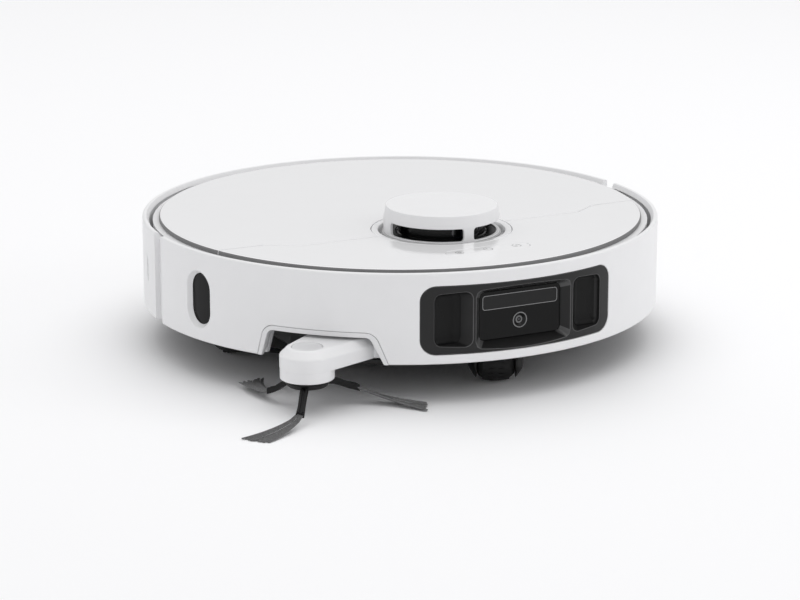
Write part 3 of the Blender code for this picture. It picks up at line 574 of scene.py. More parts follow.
def vent_cutters():
    """Five slanted slots behind the seam on the robot's right."""
    pitch, top = 3.2, 54.5
    slant = Matrix.Rotation(math.radians(45), 4, "Y")
    return [moved(through_wall(rounded(3.4, 0.75, 0.7, 4)),
                  at(along(360 + VENT_ANGLE), 0, top - pitch * i) @ slant) for i in range(5)]


def make_rear_shell():
    """Rear half of the body, with a recessed tongue at each end that runs behind the bumper."""
    shell = wall(shell_profile(BODY_R - REAR_WALL), along(REAR_END), along(360 - REAR_END))
    outer, inner = TONGUE
    strip = filleted([(outer, SHELL_LOW + 0.3, 0.4), (outer, DECK_Z - 0.3, 0.4),
                      (inner, DECK_Z - 0.3, 0), (inner, SHELL_LOW + 0.3, 0)])
    tongues = [wall(strip, along(a), along(b))
               for a, b in ((TONGUE_END, REAR_END + 4), (356 - REAR_END, 360 - TONGUE_END))]
    shell = combine(shell, tongues, "UNION")
    contacts = [upright([(unrolled_rear(x), z) for x, z in rounded(8.3, 4.3, 1.5, 4, (side, 26.0))],
                        -BODY_R - REACH, -BODY_R + 3.4) for side in (30.0, -30.0)]
    shell = combine(shell, vent_cutters() + contacts)
    ends = (along(REAR_END), along(360 - REAR_END))

    def on_end(co):
        return min(abs(co.x - e) for e in ends) < 0.01

    bevel(shell, corners_of(shell, lambda co: on_outer_face(co) and on_end(co)), 1.6, 4)
    bevel(shell, corners_of(shell, lambda co: on_outer_face(co) and not on_end(co)
                            and co.z > SHELL_LOW + 1.4), 0.25, 2)
    publish("rear_shell_skin", roll(shell), "white", "chassis", "rear_shell")
    backing = upright(rounded(7, 9, 1, 4, (along(360 + VENT_ANGLE), 48.1)),
                      -BODY_R + 2.6, -BODY_R + 3.6)
    publish("vent_screen", roll(backing), "black", "chassis")


def unrolled_rear(x):
    """Length along the outer face for a plan distance from the middle of the back."""
    return along(180) - BODY_R * math.asin(x / BODY_R)


def make_contacts():
    for side in ("left", "right"):
        (x, _, z), _ = measure("charging_contact_" + side)
        shape = [(unrolled_rear(x), z) for x, z in rounded(8.0, 4.0, 1.4, 5, (x, z))]
        pad = upright(shape, -BODY_R + 0.5, -BODY_R + 2.5)
        bevel(pad, corners_of(pad, lambda co: co.y < -BODY_R + 0.6), 0.4, 2)
        publish("contact_plate_" + side, roll(pad), "gold", "chassis", "charging_contact_" + side)


# ---------------------------------------------------------------- top

def seam_line(offset):
    """The stepped seam from -X to +X, moved along Y by an offset."""
    y, back = SPLIT_Y + offset, SPLIT_BACK_Y + offset
    bend = [(SPLIT_OUT_X, back, 6.0), (SPLIT_IN_X, y, 14.0)]
    corners = [(-PLATE_R, SPLIT_EDGE_Y + offset, 0)] + [(-x, v, r) for x, v, r in bend]
    corners += bend[::-1] + [(PLATE_R, SPLIT_EDGE_Y + offset, 0)]
    return filleted(corners, 6, False)[1:-1]


def plate_rim(edge_y, rear):
    """The plate's round edge, in front of the seam or behind it."""
    turn = math.degrees(math.asin(-edge_y / PLATE_R))
    if rear:
        return arc((0, 0), PLATE_R, -turn, 180 + turn, 150)
    return arc((0, 0), PLATE_R, 180 + turn, 360 - turn, 100)


def finish_plate(plate):
    """Round the outer rim fully and the inner edges slightly, and paint shade on the rim's outermost
    faces.
    """

    def at_top(co):
        return co.z > TOP_Z - 0.01

    def at_rim(co):
        return math.hypot(co.x, co.y) > PLATE_R - 0.05

    bevel(plate, corners_of(plate, lambda co: at_top(co) and at_rim(co)), 1.5, 5)
    bevel(plate, corners_of(plate, lambda co: at_top(co)
                            and math.hypot(co.x, co.y) < PLATE_R - 1.7), 0.4, 2)
    # Painted shade: the outermost faces of the rim take the second finish, mid grey, as a dark line
    # where the seam beside the lip lies in shade.
    for face in plate.faces:
        spot = face.calc_center_median()
        if math.hypot(spot.x, spot.y) > PLATE_R - 0.55:
            face.material_index = 1
    return plate


def turret_hole():
    return prism(circle((0, TURRET_Y), SEAT_R + 0.3, 144), PLATE_LOW - 5, TOP_Z + 5)


def make_top():
    rear = seam_line(SEAM / 2)
    lid = prism(plate_rim(SPLIT_EDGE_Y + SEAM / 2, True) + rear, PLATE_LOW, TOP_Z)
    lid = combine(lid, [turret_hole()])
    # The extra mid grey finish is the painted shade along the rim.
    publish("lid_plate", finish_plate(lid), "plate", "top_lid", "top_lid", extra=("grey",))
    front = seam_line(-SEAM / 2)
    plate = prism(plate_rim(SPLIT_EDGE_Y - SEAM / 2, False) + front[::-1], PLATE_LOW, TOP_Z)
    low, high = (corner[2] for corner in span("button_strip"))
    (x, y, _), (half_x, half_y, _) = measure("button_strip")
    slot = prism(rounded(half_x + 0.2, half_y + 0.2, half_y + 0.15, 12, (x, y)), 60, 90)
    plate = combine(plate, [turret_hole(), slot])
    # The extra mid grey finish is the painted shade along the rim.
    publish("front_plate_skin", finish_plate(plate), "plate", "chassis", "front_plate",
            extra=("grey",))
    strip = prism(rounded(half_x, half_y, half_y - 0.05, 12, (x, y)), low, high)
    round_level(strip, high, 0.25)
    publish("button_pill", strip, "plate", "button_strip", "button_strip")
    make_icons(x, y, high)


def ring_band(centre, radius, width, start=0.0, end=360.0, count=36):
    """A flat arc with a width, as an outline."""
    outer = arc(centre, radius + width / 2, start, end, count)
    inner = arc(centre, radius - width / 2, end, start, count)
    return outer + inner


def make_icons(x, y, top):
    """Three plain pictograms: spot, power and dock."""
    stroke = 0.5
    gap = 21.0
    shapes = [ring_band((x - gap, y), 2.6, stroke, 20, 340),
              ring_band((x - gap, y), 1.0, stroke, 1, 359, 20),
              ring_band((x, y), 2.9, stroke, 125, 415),
              rounded(stroke / 2, 1.3, 0.15, 3, (x, y + 2.4))]
    for turn in (0, 90, 180, 270):
        shapes.append(ring_band((x + gap, y), 2.9, stroke, turn + 12, turn + 78, 8))
    shapes.append(rounded(1.2, stroke / 2, 0.15, 3, (x + gap, y)))
    icons = joined([prism(shape, top - 0.3, top + 0.03) for shape in shapes])
    publish("button_icons", icons, "icon", "button_strip")


# ---------------------------------------------------------------- turret

def turret_band(profile):
    """A flat-drawn full ring of the turret."""
    return wall(profile, -math.pi * BAND_R, math.pi * BAND_R)


def closed_ring(band):
    """Bend a full ring and weld its two ends."""
    limit = math.pi * BAND_R
    for end in (-limit, limit):
        caps = [f for f in band.faces if all(abs(v.co.x - end) < 0.01 for v in f.verts)]
        bmesh.ops.delete(band, geom=caps, context="FACES")
    roll(band, BAND_R, (0, TURRET_Y), 3.0)
    bmesh.ops.remove_doubles(band, verts=band.verts, dist=0.01)
    bmesh.ops.recalc_face_normals(band, faces=band.faces)
    return band


def window_cutters(grow=0.0):
    middle = (WINDOW_LOW + WINDOW_TOP) / 2
    cutters = []
    for start, end in WINDOWS:
        spans = [(start, end)] if end <= 180 else [(start, 200.0), (-200.0, end - 360)]
        for a, b in spans:
            x0, x1 = BAND_R * math.radians(a) - grow, BAND_R * math.radians(b) + grow
            shape = rounded((x1 - x0) / 2, (WINDOW_TOP - WINDOW_LOW) / 2 + grow, 2.2, 6,
                            ((x0 + x1) / 2, middle))
            cutters.append(upright(shape, -45, -30))
    return cutters


def make_turret():
    inner = BAND_R - 2.0
    profile = filleted([(0, CAP_TOP, 0), (CAP_R, CAP_TOP, 0.7), (BAND_R, WINDOW_TOP + 0.6, 2.0),
                        (BAND_R, WINDOW_LOW - 0.4, 0), (BAND_R - 0.3, CAP_LOW, 0), (inner, CAP_LOW, 0),
                        (inner, WINDOW_TOP, 0), (CAP_R - 2.0, CAP_TOP - 2, 0.5),
                        (0, CAP_TOP - 2, 0)], 6)
    cap = combine(turret_band(profile), window_cutters())

    def on_band(co):
        return abs(co.y + BAND_R) < 0.05 and WINDOW_LOW - 0.2 < co.z < WINDOW_TOP + 0.2

    bevel(cap, corners_of(cap, on_band), 0.35, 2)
    publish("turret_shell", closed_ring(cap), "white", "turret_cap", "turret_cap")
    liner = turret_band([(BAND_R - 2.1, WINDOW_TOP + 5.5), (BAND_R - 2.5, WINDOW_TOP + 5.5),
                         (BAND_R - 2.5, CAP_LOW + 0.5), (BAND_R - 2.1, CAP_LOW + 0.5)])
    publish("turret_liner", closed_ring(combine(liner, window_cutters(0.3))), "drum", "turret_cap")
    floor = filleted([(30.9, 75.4, 0.2), (BAND_R - 2.6, 75.4, 0), (BAND_R - 2.6, 74.4, 0),
                      (30.9, 74.4, 0)])
    publish("turret_floor", lathe(floor, 96, place=at(0, TURRET_Y)), "black", "turret_cap")
    skirt = filleted([(BAND_R - 0.1, WINDOW_LOW - 0.6, 0.2), (CAP_LIP_R - 0.2, WINDOW_LOW - 0.9, 0.5),
                      (CAP_LIP_R, CAP_LOW, 0.3), (BAND_R - 0.1, CAP_LOW, 0)])
    publish("turret_skirt", lathe(skirt, 120, place=at(0, TURRET_Y)), "soft_grey", "turret_cap")
    make_drum()
    make_seat()


def make_drum():
    """Spinning laser head: glossy drum with a shallow waist and two round ports."""
    low, high = span("lidar_head")
    radius = high[0]
    profile = filleted([(0, high[2], 0), (radius - 0.4, high[2], 1.2), (radius - 0.4, 86.2, 0.4),
                        (radius - 1.0, 85.6, 0.4), (radius - 1.0, 75.4, 0.4),
                        (radius - 0.4, 74.8, 0.4), (radius - 0.4, low[2], 0.6), (0, low[2], 0)], 4)
    publish("laser_drum", lathe(profile, 96, False, at(0, TURRET_Y)), "drum", "lidar_head",
            "lidar_head")
    for number, angle in enumerate((-7.5, 21.0)):
        port = filleted([(0, -0.2, 0), (3.5, -0.2, 0), (3.7, 0.5, 0.15), (4.1, 0.5, 0.15),
                         (4.1, -1.4, 0), (0, -1.4, 0)], 3)
        x, y = polar(angle, radius - 0.9, (0, TURRET_Y))
        place = at(x, y, 80.4) @ Matrix.Rotation(math.radians(angle), 4, "Z")
        publish("laser_port_%d" % number,
                lathe(port, 36, False, place @ Matrix.Rotation(QUARTER, 4, "X")), "lens",
                "lidar_head")


def make_seat():
    low, top = (corner[2] for corner in span("lidar_seat"))
    outer, inner = 43.0, 38.0
    profile = filleted([(SEAT_R, top, 0.6), (SEAT_R, PLATE_LOW, 0), (outer, PLATE_LOW, 0),
                        (outer, low, 0.3), (inner, low, 0.3), (inner, 70.5, 0.6),
                        (40.5, 71.2, 1.4), (42.4, top - 0.3, 0.9)], 5)
    publish("turret_seat", lathe(profile, 144, place=at(0, TURRET_Y)), "plate", "chassis",
            "lidar_seat")


# ---------------------------------------------------------------- front sensors

def make_bezel():
    """Black insert of the bumper: a curved panel with a soft pocket on each side of its window."""
    half, low, high, corner = RECESS
    middle = (low + high) / 2
    gap = 0.3
    outline = rounded(half - gap, (high - low) / 2 - gap, corner - gap, 10, (0, middle))
    block = upright(outline, -BODY_R - REACH, span("sensor_bezel")[1][1])
    curve = prism(circle((0, 0), BODY_R - 0.4, 240), 0, 100)
    block = combine(block, [curve], "INTERSECT")
    rim, side_rim = 2.7, 7.8
    module = 31.4                  # half width of the middle part
    pocket_back = -160.5
    cutters = []
    for sign in (1, -1):
        half_x = (half - side_rim - module) / 2
        centre = (sign * (module + half_x), middle)
        shape = rounded(half_x, (high - low) / 2 - rim, 5.5, 6, centre)
        pocket = upright(shape, -178.5, pocket_back)
        back = [v for v in pocket.verts if v.co.y > pocket_back - 0.5]
        bmesh.ops.scale(pocket, verts=back, vec=(0.58, 1, 0.8),
                        space=at(-centre[0] - sign * half_x * 0.8, 0, -middle))
        bevel(pocket, corners_of(pocket, lambda co: co.y > pocket_back - 0.5, 40), 3.0, 5)
        cutters.append(pocket)
    block = combine(block, cutters)
    block = combine(block, [glass_opening()])
    small = corners_of(block, lambda co: math.hypot(co.x, co.y) > 169.0, 38)
    # Painted highlight: the small rounded ridges of the panel take the lighter edge finish.
    for face in bevel(block, small, 0.32, 2):
        face.material_index = 1
    for face in block.faces:
        # Painted shade: faces inside the side pockets take the near-black pocket finish.
        spot = face.calc_center_median()
        if abs(spot.x) > module + 0.5 and math.hypot(spot.x, spot.y) < 171.0:
            face.material_index = 2
        # Painted glint: the mitre corner faces of the window's slopes take the lighter edge finish.
        elif abs(spot.x) < module and min(abs(face.normal.x), abs(face.normal.z)) > 0.2:
            face.material_index = 1
    # Extra finishes: the lighter edge one is a painted glint and the near-black pocket one is painted
    # shade.
    publish("sensor_panel", block, "panel", "bumper", "sensor_bezel", sharp=28,
            extra=("edge", "pocket"))


def glass_opening():
    """Hole behind the sensor window that widens towards the front in four mitred slopes."""
    gap = 0.3
    (_, _, middle), (half_x, _, half_z) = measure("sensor_window")
    half_x, half_z = half_x + gap, half_z + gap
    back = span("sensor_window")[0][1] - 0.2
    front = -BODY_R - 0.5
    outline = rounded(half_x, half_z, 3.4, 2, (0, middle))
    hole = upright(outline, back, -140)
    slope = upright(outline, front, back)
    wide = [v for v in slope.verts if v.co.y < back - 1]
    reach = back - front
    grow = ((half_x + reach * 0.95) / half_x, 1.0, (half_z + reach * 0.52) / half_z)
    bmesh.ops.scale(slope, verts=wide, vec=grow, space=at(0, 0, -middle - 0.35))
    return combine(slope, [hole], "UNION")


def make_window():
    (_, face, _), (_, back, _) = span("sensor_window")
    (_, _, middle), (half_x, _, half_z) = measure("sensor_window")
    pane = upright(rounded(half_x, half_z, 3.0, 6, (0, middle)), face, back)
    (x, _, z), (radius, _, _) = measure("camera_lens")
    pane = combine(pane, [lathe([(0, -5), (4.35, -5), (4.35, 5), (0, 5)], 48, False,
                                facing_front(x, face, z))])
    bevel(pane, corners_of(pane, lambda co: co.y < face + 0.01 and abs(co.x) > 20), 0.3, 2)
    publish("sensor_glass", pane, "glass", "chassis", "sensor_window")
    (_, _, bar_z), (half_x, _, half_z) = measure("laser_bar")
    line = 0.42
    inner = rounded(half_x - line, half_z - line, 1.6, 4, (0, bar_z))
    publish("light_window", upright(inner, face - 0.05, face + 0.5), "bar", "chassis", "laser_bar")
    outline = rounded(half_x, half_z, 2.0, 4, (0, bar_z))
    border = combine(upright(outline, face - 0.12, face + 0.4), [upright(inner, face - 2, face + 2)])
    publish("light_window_edge", border, "silver", "chassis")
    make_lens(facing_front(x, face, z), radius)


def make_lens(place, radius):
    ring = filleted([(radius - 0.8, -0.2, 0.1), (radius - 0.65, 0.45, 0.15), (radius, 0.35, 0.2),
                     (radius, -0.2, 0)], 3)
    publish("lens_ring", lathe(ring, 64, place=place), "silver", "chassis", "camera_lens")
    barrel = filleted([(radius - 0.95, 0.1, 0), (radius - 1.2, 0.1, 0), (2.5, -1.25, 0.2), (0, -1.3, 0),
                       (0, -1.45, 0), (radius - 0.95, -1.45, 0)])
    publish("lens_barrel", lathe(barrel, 64, True, place), "bar", "chassis")
    iris = filleted([(1.5, -1.2, 0), (1.6, -0.95, 0.1), (2.3, -0.95, 0.1), (2.5, -1.2, 0)], 3)
    publish("lens_iris", lathe(iris, 48, place=place), "grey", "chassis")
    dome = arc((0, -2.0), 1.15, 30, 90, 6)
    publish("lens_dome", lathe([(0, -1.3), (1.1, -1.3)] + dome, 32, True, place), "lens", "chassis")


# ---------------------------------------------------------------- side brush

def arm_outline():
    """Wedge-shaped plate with a round tip and a round inner end."""
    front, back = 20.0, 37.0
    tip = arc(BRUSH_XY, ARM_TIP_R, back + 90, front + 270, 40)
    back_end = (tip[0][0] + 44 * math.cos(math.radians(back)),
                tip[0][1] + 44 * math.sin(math.radians(back)))
    front_end = (tip[-1][0] + 42.5 * math.cos(math.radians(front)),
                 tip[-1][1] + 42.5 * math.sin(math.radians(front)))
    hub = arc(ARM_PIVOT, 11.5, -108, 70, 24)
    return tip + [front_end] + hub + [back_end]


def make_arm():
    arm = prism(arm_outline(), ARM_LOW, ARM_HIGH)
    round_level(arm, ARM_HIGH, ARM_CHAMFER, 1)
    lines = corners_of(arm, lambda co: co.z > ARM_LOW + 1, 20)
    level = [e for e in lines if abs(e.verts[0].co.z - e.verts[1].co.z) < 0.01]
    bevel(arm, level, 0.9, 4)
    round_level(arm, ARM_LOW, 0.6)
    x, y = BRUSH_XY
    tip = lathe(filleted([(0, ARM_LOW + 3, 0), (ARM_TIP_R - 0.25, ARM_LOW + 3, 0),
                          (ARM_TIP_R - 0.25, ARM_TIP_LOW, 0.8), (0, ARM_TIP_LOW, 0)], 4),
                72, False, at(x, y))
    arm = combine(arm, [tip], "UNION")
    dish = prism(circle((x, y), 10.0, 64), ARM_HIGH - 1.7, 40)
    bore = prism(circle(ARM_PIVOT, 4.3, 32), 10, 40)
    arm = combine(arm, [dish, bore])
    bevel(arm, corners_of(arm, lambda co: co.z > ARM_HIGH - 0.01
                          and math.hypot(co.x - x, co.y - y) < 10.2), 0.3, 2)
    publish("brush_arm_shell", arm, "white", "brush_arm", "side_brush_arm")
    base = ARM_HIGH - 1.6
    cap = filleted([(0, base, 0), (9.7, base, 0), (9.7, ARM_HIGH - 0.3, 0.3),
                    (9.0, ARM_HIGH - 0.3, 0.1), (8.8, ARM_HIGH - 0.45, 0.1), (0, ARM_HIGH - 1.3, 0)], 3)
    publish("arm_cap_disc", lathe(cap, 96, False, at(x, y)), "pearl", "brush_arm", "arm_cap")


def smooth_stations(stations, count):
    """Points on a smooth curve through stations of several values."""
    rows = []
    last = len(stations) - 1
    for i in range(count + 1):
        spot = i / count * last
        k = min(int(spot), last - 1)
        t = spot - k
        four = [stations[min(max(j, 0), last)] for j in (k - 1, k, k + 1, k + 2)]
        rows.append([0.5 * (2 * b + (c - a) * t + (2 * a - 5 * b + 4 * c - d) * t * t
                            + (3 * b - a - 3 * c + d) * t ** 3) for a, b, c, d in zip(*four)])
    return rows


def tube(bm, rings):
    """Skin closed rings of points in order, with both ends filled."""
    loops = [[bm.verts.new(p) for p in ring] for ring in rings]
    for loop in loops:
        for i, v in enumerate(loop):
            bm.edges.new((v, loop[(i + 1) % len(loop)]))
    for first, second in zip(loops, loops[1:]):
        edges = [bm.edges.get((loop[i], loop[(i + 1) % len(loop)]))
                 for loop in (first, second) for i in range(len(loop))]
        bmesh.ops.bridge_loops(bm, edges=edges)
    for loop in (loops[0], loops[-1]):
        bm.faces.new(loop)


def brush_frame(angle, lag, radius, height):
    """Middle point and sideways direction at a radius of a swept brush strip."""
    turn = math.radians(angle + lag)
    out = Vector((math.cos(turn), math.sin(turn), 0))
    near_knee = math.exp(-((radius - 31.0) / 15.0) ** 2)
    height += STEM_BOW[angle] * near_knee + BRUSH_TILT * radius * out.y
    middle = Vector((*BRUSH_XY, height)) + out * radius * STEM_REACH[angle]
    return middle, Vector((-out.y, out.x, 0))


# radius, height, half width and lag angle along a stem and along a tuft
STEM_STATIONS = ((6.0, 9.0, 2.5, 5.0), (13.0, 8.6, 2.6, 5.0), (19.0, 6.6, 2.6, 4.5),
                 (26.0, 2.8, 2.5, 4.5), (33.0, 0.2, 2.8, 4.5))
TUFT_STATIONS = ((30.0, 1.2, 1.9, 4.5), (38.0, -1.8, 2.7, 1.0), (50.0, -4.8, 4.7, -5.0),
                 (62.0, -6.8, 7.1, -10.5), (BRISTLE_R - 3.5, -7.8, 9.5, -14.5))
STEM_BOW = {112.0: -2.8, 232.0: -2.0, 352.0: 1.6}      # each soft stem hangs a little differently
STEM_REACH = {112.0: 0.93, 232.0: 0.98, 352.0: 1.05}
BRUSH_TILT = 0.03              # the front tuft lies lower than the rear ones


def make_brush():
    x, y = BRUSH_XY
    low, high = 6.5, ARM_TIP_LOW - 0.3
    hub = filleted([(0, high, 0), (13.6, high, 0.4), (14.6, high - 1.2, 1.2), (12.6, low + 0.6, 3.0),
                    (6.0, low, 2.0), (0, low, 0)], 6)
    publish("brush_hub", lathe(hub, 72, False, at(x, y)), "stem", "side_brush", "side_brush")
    stems = bmesh.new()
    for angle in STEM_ANGLES:
        tube(stems, [stem_ring(angle, row) for row in smooth_stations(STEM_STATIONS, 16)])
    bmesh.ops.recalc_face_normals(stems, faces=stems.faces)
    publish("brush_stems", stems, "stem", "side_brush", sharp=50)
    make_bristles()


def stem_ring(angle, row):
    """Soft strap section with a shallow groove on its top."""
    radius, height, half, lag = row
    middle, side = brush_frame(angle, lag, radius, height)
    thick = 2.3 if radius > 12 else 1.6
    shape = ((-1.0, 0.4), (-0.8, 0.95), (-0.35, 0.95), (-0.2, 0.6), (0.2, 0.6), (0.35, 0.95),
             (0.8, 0.95), (1.0, 0.4), (0.85, -0.8), (-0.85, -0.8))
    return [middle + side * half * a + Vector((0, 0, thick * b)) for a, b in shape]


def make_bristles():
    """Three flat tufts of nylon hairs."""
    rng = random.Random(7)
    hairs = bmesh.new()
    locks, per_lock = 12, 14
    for angle in STEM_ANGLES:
        rows = smooth_stations(TUFT_STATIONS, 7)
        lifts = [rng.uniform(-0.55, 0.55) for _ in range(locks)]
        trims = [rng.uniform(0.0, 2.4) for _ in range(locks)]
        for i in range(locks * per_lock):
            lock, hair = divmod(i, per_lock)
            place = -1 + 2 * (lock + 0.04 + 0.92 * (hair + rng.random()) / per_lock) / locks
            layer = lifts[lock] + rng.uniform(-0.3, 0.3)
            cutback = trims[lock] + rng.uniform(0.0, 0.9)
            thickness = rng.uniform(0.2, 0.32)
            bow = rng.uniform(-0.25, 0.25)
            tube(hairs, [hair_ring(angle, row, place, layer, cutback, thickness, bow)
                         for row in rows])
    bmesh.ops.recalc_face_normals(hairs, faces=hairs.faces)
    publish("brush_bristles", hairs, "bristle", "side_brush", sharp=60)


def hair_ring(angle, row, place, layer, cutback, thickness, bow):
    radius, height, half, lag = row
    share = (radius - TUFT_STATIONS[0][0]) / (BRISTLE_R - TUFT_STATIONS[0][0])
    middle, side = brush_frame(angle, lag, radius - cutback * share, height + layer * (1 - 0.4 * share))
    middle += side * (half * place + bow * math.sin(share * math.pi))
    middle.z = max(middle.z, FLOOR_Z + 0.4)
    return [middle + side * thickness * math.cos(t) + Vector((0, 0, thickness * math.sin(t)))
            for t in (QUARTER, QUARTER + math.tau / 3, QUARTER + 2 * math.tau / 3)]


# ---------------------------------------------------------------- running gear

def along_x(x, y, z, sign=1):
    """Places a lathe shape with its axis along X."""
    return at(x, y, z) @ Matrix.Rotation(sign * QUARTER, 4, "Y")


def make_wheels():
    for side, sign in (("left", 1), ("right", -1)):
        middle, (half, _, radius) = measure("drive_tyre_" + side)
        place = along_x(*middle, sign)
        bead = measure("drive_rim_" + side)[1][2] + 0.3
        base = filleted([(bead, half, 0.5), (radius - 3.2, half, 1.6), (radius - 1.7, half - 3, 1.5),
                         (radius - 1.7, 3 - half, 1.5), (radius - 3.2, -half, 1.6),
                         (bead, -half, 0.5)], 4)
        lugs = [tyre_lug(radius, half, i) for i in range(TYRE_LUGS)]
        publish("tyre_" + side, joined([lathe(base, 96, True, place)]
                                       + [moved(lug, place) for lug in lugs]),
                "tyre", "drive_wheel_" + side, "drive_tyre_" + side)
        make_rim(side, sign, bead - 0.3)


def tyre_lug(radius, half, number):
    """One slanted tread block; odd and even ones lean opposite ways."""
    lean = 0.45 if number % 2 else -0.45
    shift = 4.8 if number % 2 else -4.8
    block = box((-1.3, -1.1, -half * 0.42), (1.3, 1.1, half * 0.42))
    bevel(block, corners_of(block, lambda co: co.x > 1.2), 0.4, 1)
    turn = Matrix.Rotation(math.tau * number / TYRE_LUGS, 4, "Z")
    place = turn @ at(radius - 1.5, 0, shift)
    return moved(block, place @ Matrix.Rotation(lean, 4, "X"))


def make_rim(side, sign, radius):
    (x, y, z), (half, _, _) = measure("drive_rim_" + side)
    inner, outer = abs(x) - half, abs(x) + half
    profile = filleted([(0, outer - 1.2, 0), (4.2, outer - 1.2, 0.3), (4.8, outer, 0.4),
                        (8.5, outer, 0.5), (10.0, outer - 3.2, 1.5), (21.5, outer - 3.2, 1.5),
                        (23.5, outer, 0.5), (radius, outer, 0.5), (radius, inner, 0.5),
                        (4.4, inner, 0), (4.4, outer - 4, 0), (0, outer - 4, 0)], 3)
    rim = lathe(profile, 72, False)
    slots = []
    for i in range(6):
        shape = ring_band((0, 0), 16, 7.5, 60 * i + 9, 60 * i + 51, 6)
        slots.append(prism(shape, outer - 6.5, outer + 5))
    rim = combine(rim, slots)
    publish("rim_" + side, moved(rim, along_x(0, y, z, sign)), "grey", "drive_wheel_" + side,
            "drive_rim_" + side)


def make_caster():
    (x, y, z), (_, _, radius) = measure("caster_wheel")
    heading = Matrix.Rotation(math.radians(CASTER_TURN), 4, "Z")
    across = at(x, y, z) @ heading @ Matrix.Rotation(QUARTER, 4, "Y")
    half = CASTER_HALF
    barrel = filleted([(0, half, 0), (radius - 5.6, half, 1.2), (radius - 1.7, half - 4.4, 6.0),
                       (radius, 0, 40.0), (radius - 1.7, 4.4 - half, 6.0),
                       (radius - 5.6, -half, 1.2), (0, -half, 0)], 6)
    slots = []
    rows = 22
    for i in range(rows):
        spin = Matrix.Rotation(math.tau * i / rows, 4, "Z")
        for side in (-3.4, 3.4):
            slot = box((radius - 1.6, -0.5, side - 1.6), (radius + 2, 0.5, side + 1.6))
            slots.append(moved(slot, spin))
        slots.append(moved(box((radius - 1.0, 0.9, -0.6), (radius + 2, 2.0, 0.6)), spin))
    wheel = combine(lathe(barrel, 66, False), [joined(slots)])
    publish("caster_barrel", moved(wheel, across), "rubber", "caster_wheel", "caster_wheel")
    make_yoke(y, radius, across)


def make_yoke(y, radius, across):
    """Turning disc with a pin on top and a round cheek on each side of the wheel."""
    wide, _, pin_top = span("caster_fork")[1]
    disc = filleted([(0, 22.6, 0), (wide, 22.6, 1.0), (wide, 8.0, 2.0), (0, 8.0, 0)], 5)
    body = lathe(disc, 64, False, at(0, y))
    reach = wide - 0.1
    bowl = filleted([(0, -6.0, 0), (reach - 4.5, -6.0, 3.0), (reach, 1.0, 7.0), (reach, 21, 0),
                     (0, 21, 0)])
    limit = lathe(bowl, 64, False, at(0, y))
    cheeks = lathe([(0, -20), (11.4, -20), (11.4, 20), (0, 20)], 40, False, across)
    fork = combine(body, [combine(cheeks, [limit], "INTERSECT")], "UNION")
    room = (radius + 1, CASTER_HALF + 0.5)
    gap = lathe([(0, -room[1]), (room[0], -room[1]), room, (0, room[1])], 48, False, across)
    pin = lathe([(0, 20), (5, 20), (5, pin_top), (0, pin_top)], 32, False, at(0, y))
    fork = combine(combine(fork, [gap]), [pin], "UNION")
    bevel(fork, corners_of(fork, lambda co: co.z < 7.5, 50), 0.5, 2)
    publish("caster_yoke", fork, "black", "caster_swivel", "caster_fork")


def make_roller():
    """Rubber roller with six fins that sweep back from the middle."""
    middle, (half, _, radius) = measure("main_brush")
    outline = []
    for i in range(6):
        start = 60 * i
        outline += arc((0, 0), 16.0, start, start + 42, 6)
        outline += [(math.cos(math.radians(start + a)) * r, math.sin(math.radians(start + a)) * r)
                    for a, r in ((47, 18.0), (50, radius), (54, radius), (57, 18.0))]
    roller = prism(outline, -half, half)
    for i in range(-20, 21):
        bmesh.ops.bisect_plane(roller, geom=roller.verts[:] + roller.edges[:] + roller.faces[:],
                               dist=0.0005, plane_co=(0, 0, i * half / 21), plane_no=(0, 0, 1))
    for v in roller.verts:
        turn = Matrix.Rotation(math.radians(62) * abs(v.co.z) / half, 4, "Z")
        v.co = turn @ v.co
    bevel(roller, corners_of(roller, lambda co: abs(abs(co.z) - half) < 0.01, 50), 0.4, 1)
    publish("finned_roller", moved(roller, along_x(*middle)), "rubber", "main_brush", "main_brush",
            sharp=40)


def screw_head(x, y, z, radius=2.2):
    """Recessed cross-head screw that faces down."""
    head = lathe(filleted([(0, 0.0, 0), (radius, 0.0, 0.3), (radius, 0.8, 0), (0, 0.8, 0)], 2), 20,
                 False)
    arms = [box((-1.2, -0.28, -1), (1.2, 0.28, 0.45)), box((-0.28, -1.2, -1), (0.28, 1.2, 0.45))]
    return moved(combine(head, arms), at(x, y, z))


def make_underside():
    (_, front, under), (half, back, top) = span("brush_guard")
    corners = [(-half, back, 3), (-half, front + 16, 4), (16 - half, front, 4),
               (half - 16, front, 4), (half, front + 16, 4), (half, back, 3)]
    plate = prism(filleted(corners, 5), under, top)
    opening = prism(rounded(86, 21, 5, 5, (0, (front + back) / 2)), -6, 6)
    holes = [prism(circle((sx * 89.3, y), 0.9, 12), -6, 6) for sx in (1, -1) for y in (-60, -50, -40)]
    plate = combine(plate, [opening] + holes)
    round_level(plate, under, 0.4)
    publish("roller_guard", plate, "grey", "chassis", "brush_guard")
    lips = [prism(rounded(78, 0.5, 0.4, 2, (0, y)), under - 0.9, under + 0.4)
            for y in (front + 3.5, back - 3.5)]
    publish("guard_wipers", joined(lips), "rubber", "chassis")
    places = [(x, y) for x in (-30, 30) for y in (-95, -8)] + [(-52, 14), (52, 14), (0, 30)]
    screws = joined([screw_head(x, y, -0.15) for x, y in places])
    publish("underside_screws", screws, "steel", "chassis")
    make_cliff_windows()


